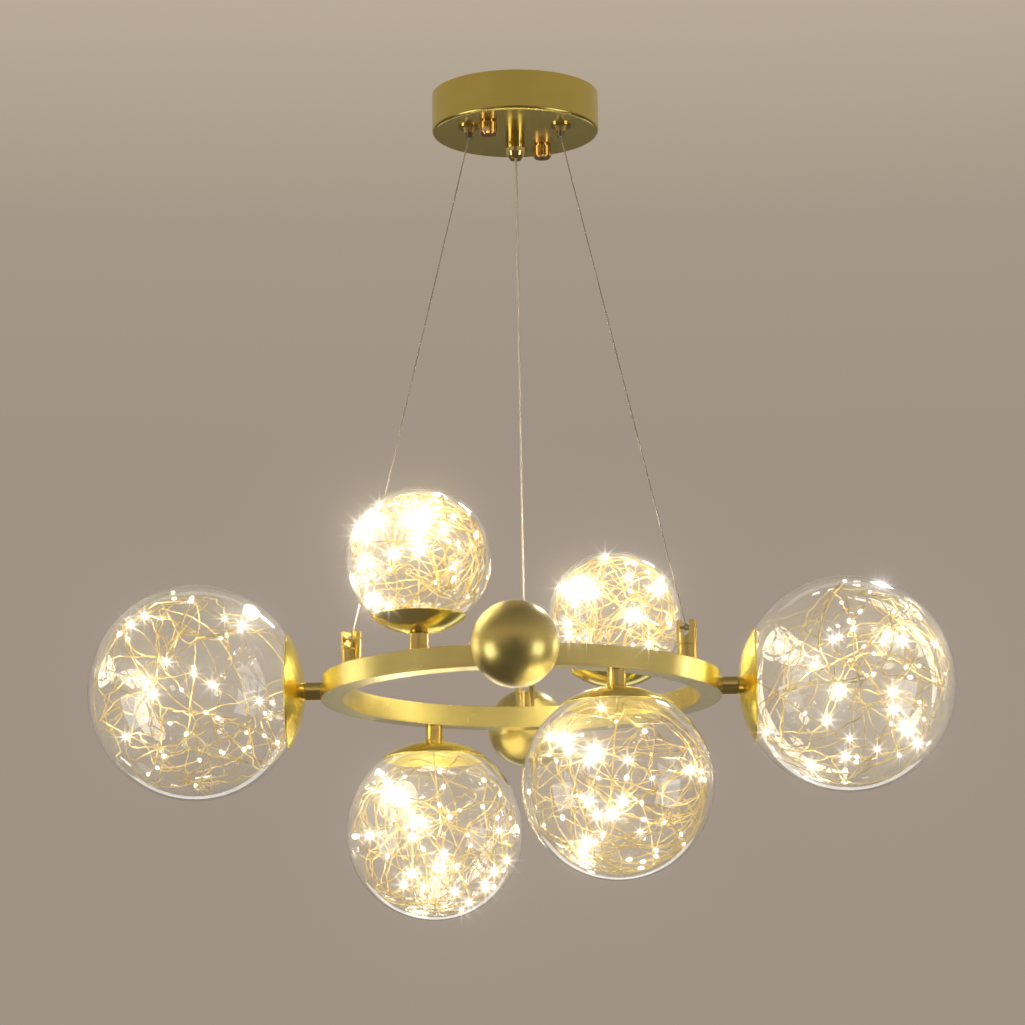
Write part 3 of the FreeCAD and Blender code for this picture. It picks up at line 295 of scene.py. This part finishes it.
def plated_metal(name, dark, light, roughness, lacquer=0.0, grain=(1, 1, 1), grain_scale=900,
                 grain_depth=0.02):
    """Plated metal: a faint cloudiness in the colour, uneven gloss and a fine grain, and some of it
    under clear lacquer."""
    paint = Paint(name, light, roughness, metallic=1.0)
    paint.set("Coat Weight", lacquer)
    paint.set("Coat Roughness", 0.2)
    cloud = paint.noise(scale=38, detail=4)
    paint.link(paint.ramp(cloud, dark, light), paint.shader.inputs["Base Color"])
    smear = paint.noise(scale=120, detail=5, stretch=grain)
    glossiest, dullest = 0.9, 1.12
    gloss = paint.between(smear, roughness * glossiest, roughness * dullest)
    paint.link(gloss, paint.shader.inputs["Roughness"])
    fine_grain = paint.noise(scale=grain_scale, detail=2, stretch=grain)
    paint.bump(fine_grain, strength=grain_depth, distance=0.05 * MM)
    return paint.material


def clear_glass():
    """Blown glass, with a trace of haze that catches the light of the string inside."""
    paint = Paint("blown_glass", (0.985, 0.985, 0.97), 0.0)
    paint.set("IOR", 1.45)
    paint.set("Transmission Weight", 0.988)
    waves = paint.noise(scale=14, detail=1)
    paint.bump(waves, strength=0.12, distance=0.4 * MM)
    return paint.material


def light_bead(name, colour, strength):
    """The lit core of a light: hot white in the middle of its own glow."""
    paint = Paint(name, (1.0, 0.93, 0.75), 0.3)
    paint.set("Emission Color", (*colour, 1))
    paint.set("Emission Strength", strength)
    mottled = paint.noise(scale=200, detail=2)
    amber, cream = (1.0, 0.86, 0.6), (1.0, 0.95, 0.82)
    paint.link(paint.ramp(mottled, amber, cream), paint.shader.inputs["Base Color"])
    return paint.material


def moulded_plastic(name, colour, roughness):
    """Plastic with faint darker clouds and the fine texture of its mould."""
    paint = Paint(name, colour, roughness)
    speck = paint.noise(scale=60, detail=4)
    darker = tuple(c * 0.82 for c in colour)
    paint.link(paint.ramp(speck, darker, colour), paint.shader.inputs["Base Color"])
    paint.bump(paint.noise(scale=1400, detail=2), strength=0.25, distance=0.05 * MM)
    return paint.material


def clear_sheath():
    """The cord's clear plastic, a little uneven along its length."""
    paint = Paint("clear_sheath", (0.90, 0.85, 0.76), 0.18)
    paint.set("IOR", 1.48)
    paint.set("Transmission Weight", 0.7)
    paint.bump(paint.noise(scale=180, detail=2), strength=0.3, distance=0.08 * MM)
    return paint.material


def floor_paint():
    """A pale floor that shines a little by itself, as one lit from below does."""
    paint = Paint("pale_floor", (0.62, 0.57, 0.50), 0.75)
    paint.set("Emission Color", (0.60, 0.52, 0.44, 1))
    paint.set("Emission Strength", 0.36)
    mottled = paint.noise(scale=1.3, detail=5)
    darker, lighter = (0.60, 0.55, 0.48), (0.64, 0.59, 0.52)
    paint.link(paint.ramp(mottled, darker, lighter), paint.shader.inputs["Base Color"])
    return paint.material


GOLD = plated_metal("satin_gold", (0.86, 0.73, 0.22), (0.94, 0.82, 0.275), 0.26, lacquer=1.0)
BALL_GOLD = plated_metal("ball_gold", (0.70, 0.56, 0.14), (0.78, 0.64, 0.175), 0.34, lacquer=1.0)
CAP_GOLD = plated_metal("bright_gold", (0.92, 0.75, 0.14), (1.0, 0.84, 0.17), 0.19)
STEM_GOLD = plated_metal("stem_gold", (0.88, 0.68, 0.20), (0.96, 0.78, 0.27), 0.14)
CANOPY_GOLD = plated_metal("canopy_gold", (0.67, 0.55, 0.15), (0.71, 0.59, 0.165), 0.24)
GLOSS_GOLD = plated_metal("gloss_gold", (0.90, 0.71, 0.26), (0.96, 0.79, 0.34), 0.07)
COPPER_GOLD = plated_metal("copper_gold", (0.80, 0.51, 0.22), (0.92, 0.64, 0.34), 0.12)
STEEL = plated_metal("zinc_steel", (0.50, 0.50, 0.49), (0.66, 0.66, 0.64), 0.30)
DARK_STEEL = plated_metal("dark_steel", (0.26, 0.22, 0.19), (0.36, 0.31, 0.27), 0.25)
WIRE_STEEL = plated_metal("wire_steel", (0.62, 0.56, 0.49), (0.76, 0.70, 0.62), 0.55,
                          grain=(1, 1, 6), grain_scale=700, grain_depth=0.1)
COPPER = plated_metal("string_copper", (0.43, 0.30, 0.10), (0.92, 0.79, 0.40), 0.34)
GLASS = clear_glass()
BRIGHT_BEAD = light_bead("bright_light", (1.0, 0.93, 0.80), 16)
SOFT_BEAD = light_bead("soft_light", (1.0, 0.86, 0.60), 4)
BLACK = moulded_plastic("black_plastic", (0.035, 0.035, 0.037), 0.45)
WHITE = moulded_plastic("white_plastic", (0.82, 0.81, 0.78), 0.40)
SHEATH = clear_sheath()
LEAD = plated_metal("tinned_leads", (0.70, 0.64, 0.54), (0.80, 0.74, 0.64), 0.50)
FLOOR_PAINT = floor_paint()

# ---------------------------------------------------------------- meshes


def new_object(name, points, faces, material, smooth_below=None):
    mesh = bpy.data.meshes.new(name)
    mesh.from_pydata([tuple(p) for p in points], [], faces)
    mesh.materials.append(material)
    mesh.validate()
    if smooth_below is not None:
        mesh.shade_smooth()
        mesh.set_sharp_from_angle(angle=math.radians(smooth_below))
    thing = bpy.data.objects.new(name, mesh)
    bpy.context.scene.collection.objects.link(thing)
    return thing


def spun(name, profile, material, place, segments, smooth_below):
    """A closed outline of (radius, height) points swept round the Z axis, then put in its place."""
    on_axis = 1e-7
    turns_left = sum(a[0] * b[1] - b[0] * a[1] for a, b in zip(profile, profile[1:] + profile[:1]))
    if turns_left < 0:
        profile = profile[::-1]
    points = []
    rows = []
    for radius, height in profile:
        if radius < on_axis:
            rows.append([len(points)])
            points.append(place @ Vector((0, 0, height)))
            continue
        rows.append(list(range(len(points), len(points) + segments)))
        for i in range(segments):
            angle = 2 * math.pi * i / segments
            points.append(place @ Vector((radius * math.cos(angle), radius * math.sin(angle), height)))
    faces = []
    for i in range(len(rows)):
        low, high = rows[i], rows[(i + 1) % len(rows)]
        if len(low) == 1 and len(high) == 1:
            continue
        for k in range(segments):
            following = (k + 1) % segments
            if len(low) == 1:
                faces.append((low[0], high[following], high[k]))
            elif len(high) == 1:
                faces.append((low[k], low[following], high[0]))
            else:
                faces.append((low[k], low[following], high[following], high[k]))
    return new_object(name, points, faces, material, smooth_below)


def arc(middle, radius, start, end, count):
    """Points of an arc in the outline's plane. Angles are degrees from +Z towards the outside."""
    for i in range(count + 1):
        angle = math.radians(start + (end - start) * i / count)
        yield (middle[0] + radius * math.sin(angle), middle[1] + radius * math.cos(angle))


def facing(azimuth, way):
    """The turn that points a fitting's own +Z axis up, down or out from the ring."""
    turn = Matrix.Rotation(math.radians(azimuth), 4, "Z")
    if way == "up":
        return turn
    if way == "down":
        return turn @ Matrix.Rotation(math.pi, 4, "X")
    return turn @ Matrix.Rotation(math.pi / 2, 4, "Y")


def on_ring(azimuth, way):
    """The place on the ring's face that a fitting's own +Z axis starts from."""
    radius = RING_OUTER if way == "out" else RING_OUTER - RING_WIDTH / 2
    level = {"out": RING_LEVEL, "up": RING_TOP, "down": RING_BOTTOM}[way]
    angle = math.radians(azimuth)
    spot = Matrix.Translation((radius * math.cos(angle), radius * math.sin(angle), level))
    return spot @ facing(azimuth, way)


def finish_nodes():
    """The finish of every CAD node that stays in sight or stands behind a made piece."""
    finishes = {
        "mounting_bracket": STEEL, "bracket_studs": STEEL, "canopy_cup": CANOPY_GOLD,
        "canopy_nut_left": COPPER_GOLD, "canopy_nut_right": COPPER_GOLD, "led_driver": WHITE,
        "terminal_block": WHITE, "cord_gland": GLOSS_GOLD, "gland_lock_nuts": STEEL,
        "wire_grippers": GLOSS_GOLD, "power_cord": SHEATH, "power_cord_tail": SHEATH,
        "ring_channel": GOLD, "ring_cover": GOLD, "ring_thread_inserts": STEEL, "ring_harness": BLACK,
        "post_bases": STEM_GOLD, "post_heads": STEM_GOLD, "post_cross_pins": STEEL,
        "wire_terminals": STEEL, "post_screws": STEEL, "ball_stems": STEM_GOLD,
        "metal_ball_back": BALL_GOLD, "metal_ball_front": BALL_GOLD,
    }
    for name in POSTS:
        finishes[f"gripper_plunger_{name}"] = DARK_STEEL
        finishes[f"suspension_wire_{name}"] = WIRE_STEEL
    for name, *_ in GLOBES:
        finishes[f"globe_stem_{name}"] = STEM_GOLD
        finishes[f"globe_cap_{name}"] = CAP_GOLD
        finishes[f"string_base_{name}"] = BLACK
        finishes[f"glass_globe_{name}"] = GLASS
        finishes[f"light_string_{name}"] = COPPER
    for name, material in finishes.items():
        slots = NODES[name].data.materials
        slots.clear()
        slots.append(material)


# ---------------------------------------------------------------- globes

GLASS_WALL = 1.5 * MM
MOUTH_RADIUS = 9 * MM
# From the ring's face to where the full ball of the glass would start.
STANDOFF = 16.5 * MM
# Between the glass and the cap.
CAP_GAP = 0.3 * MM
CAP_WALL = 1.2 * MM
CAP_RIM_RADIUS = {"large": 53 * MM, "medium": 50 * MM, "small": 42.25 * MM}
CAP_HOLE_RADIUS = 4.05 * MM
# How far inside the ball of the glass the string leaves its base.
BASE_FRONT = 6.45 * MM


def globe_radius(name):
    """Half the glass's width across its stem, to the nearest tenth of a millimetre."""
    across = box_size(f"glass_globe_{name}").y / 2
    return round(across / MM, 1) * MM


def blown_globe(name, azimuth, way):
    """The glass: an even wall with a fire-polished lip round its mouth. It casts no shadow, so that
    the lights inside it reach the metal."""
    radius = globe_radius(name)
    inner = radius - GLASS_WALL
    centre = (0, STANDOFF + radius)
    mouth = 180 - math.degrees(math.asin(MOUTH_RADIUS / radius))
    rings = 72
    outside = list(arc(centre, radius, 0, mouth, rings))
    inside = list(arc(centre, inner, mouth, 0, rings))
    lip_middle = ((outside[-1][0] + inside[0][0]) / 2, (outside[-1][1] + inside[0][1]) / 2)
    lip_swell = GLASS_WALL * 0.22
    lip = [(x - lip_swell, z) for x, z in (outside[-1], lip_middle, inside[0])]
    profile = outside + lip + inside
    glass = spun(f"blown_globe_{name}", profile, GLASS, on_ring(azimuth, way),
                 segments=144, smooth_below=60)
    glass.visible_shadow = False
    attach(glass, f"globe_{name}")
    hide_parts(f"glass_globe_{name}")


def spun_cap(name, kind, azimuth, way):
    """The cap over the globe's end: a spun dish with a rolled rim."""
    rim_radius = CAP_RIM_RADIUS[kind]
    radius = globe_radius(name)
    centre = (0, STANDOFF + radius)
    outer = radius + CAP_GAP + CAP_WALL
    inner = radius + CAP_GAP
    roll = CAP_WALL / 2
    middle_wall = (outer + inner) / 2
    rim = 180 - math.degrees(math.asin((rim_radius - roll) / middle_wall))
    steps = 36
    outer_hole = 180 - math.degrees(math.asin(CAP_HOLE_RADIUS / outer))
    inner_hole = 180 - math.degrees(math.asin(CAP_HOLE_RADIUS / inner))
    outside = list(arc(centre, outer, outer_hole, rim, steps))
    inside = list(arc(centre, inner, rim, inner_hole, steps))
    turn = math.radians(rim)
    rim_middle = (centre[0] + middle_wall * math.sin(turn), centre[1] + middle_wall * math.cos(turn))
    rolled = list(arc(rim_middle, roll, rim, rim - 180, 8))[1:-1]
    profile = outside + rolled + inside
    cap = spun(f"spun_cap_{name}", profile, CAP_GOLD, on_ring(azimuth, way),
               segments=144, smooth_below=40)
    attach(cap, f"globe_{name}")
    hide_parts(f"globe_cap_{name}")


def spread_ways(chance, count):
    """Directions from a globe's middle, about evenly spread, none of them at the string's base."""
    golden_angle = math.pi * (3 - math.sqrt(5))
    lowest, highest = -0.80, 0.98
    turn_spread = 0.35
    ways = []
    for i in range(count):
        height = lowest + (highest - lowest) * (i + chance.uniform(0.2, 0.8)) / count
        turn = golden_angle * i + chance.uniform(-turn_spread, turn_spread)
        across = math.sqrt(1 - height ** 2)
        ways.append(Vector((across * math.cos(turn), across * math.sin(turn), height)))
    chance.shuffle(ways)
    return ways


def string_stops(chance, ways, runs):
    """The order in which the string visits its hubs, evenly. Some runs go back along the last one."""
    going_back = 0.14
    least_angle, most_angle = 0.8, 2.4
    stops = [0]
    visits = [0] * len(ways)
    for _ in range(runs):
        here = stops[-1]
        if len(stops) > 1 and chance.random() < going_back:
            following = stops[-2]
        else:
            others = [k for k in range(len(ways)) if k != here]
            across = [k for k in others if least_angle < ways[here].angle(ways[k]) < most_angle] or others
            following = min(across, key=lambda k: visits[k] + chance.random())
        visits[following] += 1
        stops.append(following)
    return stops


def smooth_through(knots, steps):
    """Points on a smooth line through all the knots."""
    line = []
    last = len(knots) - 1
    for i in range(last):
        before, start, end, after = knots[max(i - 1, 0)], knots[i], knots[i + 1], knots[min(i + 2, last)]
        leaving, arriving = (end - before) / 2, (after - start) / 2
        for k in range(steps):
            t = k / steps
            line.append(start * (1 + t * t * (2 * t - 3)) + end * (t * t * (3 - 2 * t))
                        + leaving * (t * (1 - t) ** 2) - arriving * (t * t * (1 - t)))
    return line + [knots[-1]]


def string_line(chance, radius, runs, hubs):
    """A loose string's line about the globe's middle, and where along it the string comes to each
    hub. Most runs press outwards along the glass, and the rest cut through the middle. Nothing
    comes too near the glass or the string's base."""
    knot_gap = 12 * MM
    crinkle = 0.9 * MM
    outermost = radius - 4.2 * MM
    base_room, base_top = 17 * MM, 0.72
    first_spread, hub_spread, bow_spread = 0.05, 0.17, 0.2
    along_glass = 0.62
    fewest_knots = 3
    steps = 6
    ways = spread_ways(chance, hubs)
    stops = string_stops(chance, ways, runs)
    base = Vector((0, 0, BASE_FRONT - radius))
    start = [base, base * 0.93, base * 0.84]
    knots = list(start)
    reach = radius * 0.88
    first_aside = Vector((chance.gauss(0, first_spread), chance.gauss(0, first_spread), 0))
    way = (ways[0] + first_aside).normalized()
    arrivals = []
    for stop in stops[1:]:
        spread = [chance.gauss(0, hub_spread) for _ in range(3)]
        next_way = (ways[stop] + Vector(spread)).normalized()
        next_reach = radius * chance.uniform(0.84, 0.955)
        depth = 0.0 if chance.random() < along_glass else chance.uniform(0.2, 0.7)
        sideways = way.cross(next_way).normalized() * radius * chance.gauss(0, bow_spread)
        count = max(fewest_knots, round(way.angle(next_way) * radius / knot_gap))
        for i in range(count):
            t = i / count
            swell = math.sin(math.pi * t)
            distance = (reach + (next_reach - reach) * t) * (1 - depth * swell)
            point = way.slerp(next_way, t) * distance + sideways * swell
            point += Vector([chance.gauss(0, crinkle) for _ in range(3)])
            knots.append(point)
        arrivals.append((stop, len(knots) * steps))
        way, reach = next_way, next_reach
    for knot in knots[len(start):]:
        if knot.length > outermost:
            knot *= outermost / knot.length
        aside = math.hypot(knot.x, knot.y)
        if knot.z < base.z * base_top and aside < base_room:
            knot.z = base.z * base_top
    return smooth_through(knots, steps), arrivals[:-1]


def tube(points, radius, sides):
    """Vertices and faces of a round tube along points, carried along without twisting."""
    side = Vector((1, 0, 0))
    vertices = []
    count = len(points)
    for i in range(count):
        along = (points[min(i + 1, count - 1)] - points[max(i - 1, 0)]).normalized()
        side = (side - along * side.dot(along)).normalized()
        other = along.cross(side)
        for k in range(sides):
            angle = 2 * math.pi * k / sides
            vertices.append(points[i] + (side * math.cos(angle) + other * math.sin(angle)) * radius)
    faces = []
    for i in range(count - 1):
        for k in range(sides):
            a, b = i * sides + k, i * sides + (k + 1) % sides
            faces.append((a, b, b + sides, a + sides))
    faces.append(tuple(range(sides - 1, -1, -1)))
    faces.append(tuple(range((count - 1) * sides, count * sides)))
    return vertices, faces


def strands(points, offset, pitch):
    """Two lines that twist round the given one."""
    side = Vector((1, 0, 0))
    first, second = [], []
    travelled = 0.0
    for i, point in enumerate(points):
        if i:
            travelled += (point - points[i - 1]).length
        after, before = points[min(i + 1, len(points) - 1)], points[max(i - 1, 0)]
        along = (after - before).normalized()
        side = (side - along * side.dot(along)).normalized()
        angle = 2 * math.pi * travelled / pitch
        out = side * math.cos(angle) + along.cross(side) * math.sin(angle)
        first.append(point + out * offset)
        second.append(point - out * offset)
    return first, second


def drop(middle, along, length, radius):
    """A small egg-shaped drop, drawn out along its wire."""
    side = along.orthogonal().normalized()
    other = along.cross(side)
    rings, sides = 6, 10
    vertices = [middle - along * length]
    for i in range(1, rings):
        angle = math.pi * i / rings
        width = radius * math.sin(angle)
        for k in range(sides):
            turn = 2 * math.pi * k / sides
            out = side * math.cos(turn) + other * math.sin(turn)
            vertices.append(middle - along * length * math.cos(angle) + out * width)
    vertices.append(middle + along * length)
    faces = []
    last = len(vertices) - 1
    for k in range(sides):
        following = (k + 1) % sides
        faces.append((0, 1 + following, 1 + k))
        end_row = 1 + (rings - 2) * sides
        faces.append((last, end_row + k, end_row + following))
        for i in range(rings - 2):
            a, b = 1 + i * sides + k, 1 + i * sides + following
            faces.append((a, b, b + sides, a + sides))
    return vertices, faces


def joined(name, parts, material, place):
    """One object of several (points, faces) parts, put in its place."""
    points, faces = [], []
    for part_points, part_faces in parts:
        first = len(points)
        points += [place @ p for p in part_points]
        faces += [tuple(first + i for i in face) for face in part_faces]
    return new_object(name, points, faces, material, smooth_below=60)


def bead_glow(beads, number, spot, power):
    """The light that one of the brightest beads throws on what is round it. It isn't seen itself."""
    data = bpy.data.lights.new(f"{beads.name}_glow_{number}", "POINT")
    data.energy = power
    data.color = (1.0, 0.91, 0.72)
    data.shadow_soft_size = 8 * MM
    glow = bpy.data.objects.new(data.name, data)
    bpy.context.scene.collection.objects.link(glow)
    glow.location = spot
    glow.visible_camera = False
    glow.visible_transmission = False
    glow.parent = beads


# A light string's looks by globe: runs, hubs that it visits, lights along it, share of bright ones,
# hubs where more lights gather, and the light in watts that the string gives.
STRINGS = {
    "large": (64, 12, 38, 0.22, 3, 1.4),
    "medium": (84, 12, 42, 0.22, 3, 1.1),
    "small": (92, 13, 28, 0.50, 5, 1.9),
}
GLOWING_BEADS = 7
FIRST_SEED = 11


def light_string(name, kind, azimuth, way, seed):
    """The copper string of one globe and the lights along it."""
    runs, hubs, lights, bright_share, gathered, power = STRINGS[kind]
    chance = random.Random(seed)
    radius = globe_radius(name)
    place = on_ring(azimuth, way) @ Matrix.Translation((0, 0, STANDOFF + radius))
    line, arrivals = string_line(chance, radius, runs, hubs)
    wire_radius, twist_offset, twist_pitch = 0.32 * MM, 0.42 * MM, 20 * MM
    wires = [tube(strand, wire_radius, 5) for strand in strands(line, twist_offset, twist_pitch)]
    string = joined(f"copper_string_{name}", wires, COPPER, place)
    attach(string, f"globe_{name}")
    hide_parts(f"light_string_{name}")
    first_spot, plain_ends = 25, 30
    gathering, gather_spread = 0.6, 5
    spots = []
    for i in range(lights):
        along = (i + 0.5 + chance.uniform(-0.3, 0.3)) / lights
        spots.append((int(along * (len(line) - plain_ends)) + first_spot, chance.random() < bright_share))
    for hub, spot in arrivals:
        if hub < gathered and chance.random() < gathering:
            spots.append((spot + chance.randint(-gather_spread, gather_spread), True))
    half_length, half_width = 2.3 * MM, 1.55 * MM
    bright, soft, bright_middles = [], [], []
    for spot, is_bright in spots:
        along = (line[spot + 1] - line[spot - 1]).normalized()
        size = chance.uniform(0.85, 1.2)
        shape = drop(line[spot], along, half_length * size, half_width * size)
        (bright if is_bright else soft).append(shape)
        if is_bright:
            bright_middles.append(place @ line[spot])
    for label, shapes, material in (("bright", bright, BRIGHT_BEAD), ("soft", soft, SOFT_BEAD)):
        beads = joined(f"{label}_lights_{name}", shapes, material, place)
        beads.visible_shadow = False
        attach(beads, f"globe_{name}")
        if label == "bright":
            step = len(bright_middles) // GLOWING_BEADS
            for number in range(GLOWING_BEADS):
                bead_glow(beads, number, bright_middles[number * step], power / GLOWING_BEADS)


def metal_ball(name, azimuth):
    """A hollow spun ball with a flat seat for its stem."""
    radius = 38.5 * MM
    standoff = 11.6 * MM
    seat_radius, seat_level = 8.15 * MM, 12.5 * MM
    bore_radius = 5.05 * MM
    hollow = radius - 1.2 * MM
    centre = (0, standoff + radius)
    seat_angle = 180 - math.degrees(math.asin(seat_radius / radius))
    bore_angle = 180 - math.degrees(math.asin(bore_radius / hollow))
    profile = list(arc(centre, radius, 0, seat_angle, 64))
    profile += [(seat_radius, seat_level), (bore_radius, seat_level)]
    profile += list(arc(centre, hollow, bore_angle, 0, 32))
    ball = spun(f"spun_ball_{name}", profile, BALL_GOLD, on_ring(azimuth, "out"),
                segments=128, smooth_below=50)
    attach(ball, "ring")
    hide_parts(f"metal_ball_{name}")


# ---------------------------------------------------------------- wires and cord

WIRE_RADIUS = 0.6 * MM
CORD_RADIUS = 1.1 * MM


def rod_ends(node, radius):
    """The ends of a slanted round rod, from its box. The upper end is nearer the Z axis."""
    low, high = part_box(node)
    way = (high - low).normalized()
    top, bottom = Vector(), Vector()
    for i in range(3):
        inset = radius * math.sqrt(1 - way[i] ** 2)
        ends = low[i] + inset, high[i] - inset
        top[i], bottom[i] = min(ends, key=abs), max(ends, key=abs)
    return top, bottom


def shortens(piece):
    """Gives the piece a mesh of its own."""
    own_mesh(piece)


def suspension_wire(name):
    """A steel wire: six strands laid round a straight one."""
    node = f"suspension_wire_{name}"
    top, bottom = rod_ends(node, WIRE_RADIUS)
    spans = 500
    middle = [top.lerp(bottom, i / spans) for i in range(spans + 1)]
    strand_count, lay_length = 6, 9 * MM
    strand_radius = WIRE_RADIUS / 3
    along = (bottom - top).normalized()
    side = along.orthogonal().normalized()
    other = along.cross(side)
    length = (bottom - top).length
    parts = [tube([top, (top + bottom) / 2, bottom], strand_radius, 6)]
    for strand in range(strand_count):
        line = []
        for i, point in enumerate(middle):
            angle = 2 * math.pi * (strand / strand_count + length * i / spans / lay_length)
            out = side * math.cos(angle) + other * math.sin(angle)
            line.append(point + out * (WIRE_RADIUS - strand_radius))
        parts.append(tube(line, strand_radius, 5))
    wire = joined(f"steel_wire_{name}", parts, WIRE_STEEL, Matrix.Identity(4))
    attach(wire, "canopy")
    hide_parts(node)
    shortens(wire)


def power_cord():
    """The clear cord with its two twisted leads, pulled straight from the gland to its post."""
    top, bottom = rod_ends("power_cord", CORD_RADIUS)
    spans = 240
    line = [top.lerp(bottom, i / spans) for i in range(spans + 1)]
    sheath = joined("cord_sheath", [tube(line, CORD_RADIUS, 20)], SHEATH, Matrix.Identity(4))
    lead_radius, lead_pitch = 0.36 * MM, 14 * MM
    lead_offset = lead_radius * 1.05
    leads = [tube(lead, lead_radius, 8) for lead in strands(line, lead_offset, lead_pitch)]
    cores = joined("cord_leads", leads, LEAD, Matrix.Identity(4))
    for piece in (sheath, cores):
        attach(piece, "canopy")
        shortens(piece)
    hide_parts("power_cord")


make_camera()
make_surround()
make_studio()
make_glow()
finish_nodes()
for index, (name, kind, azimuth, way) in enumerate(GLOBES):
    blown_globe(name, azimuth, way)
    spun_cap(name, kind, azimuth, way)
    light_string(name, kind, azimuth, way, FIRST_SEED + index)
for name, azimuth in BALLS:
    metal_ball(name, azimuth)
for name in POSTS:
    suspension_wire(name)
power_cord()
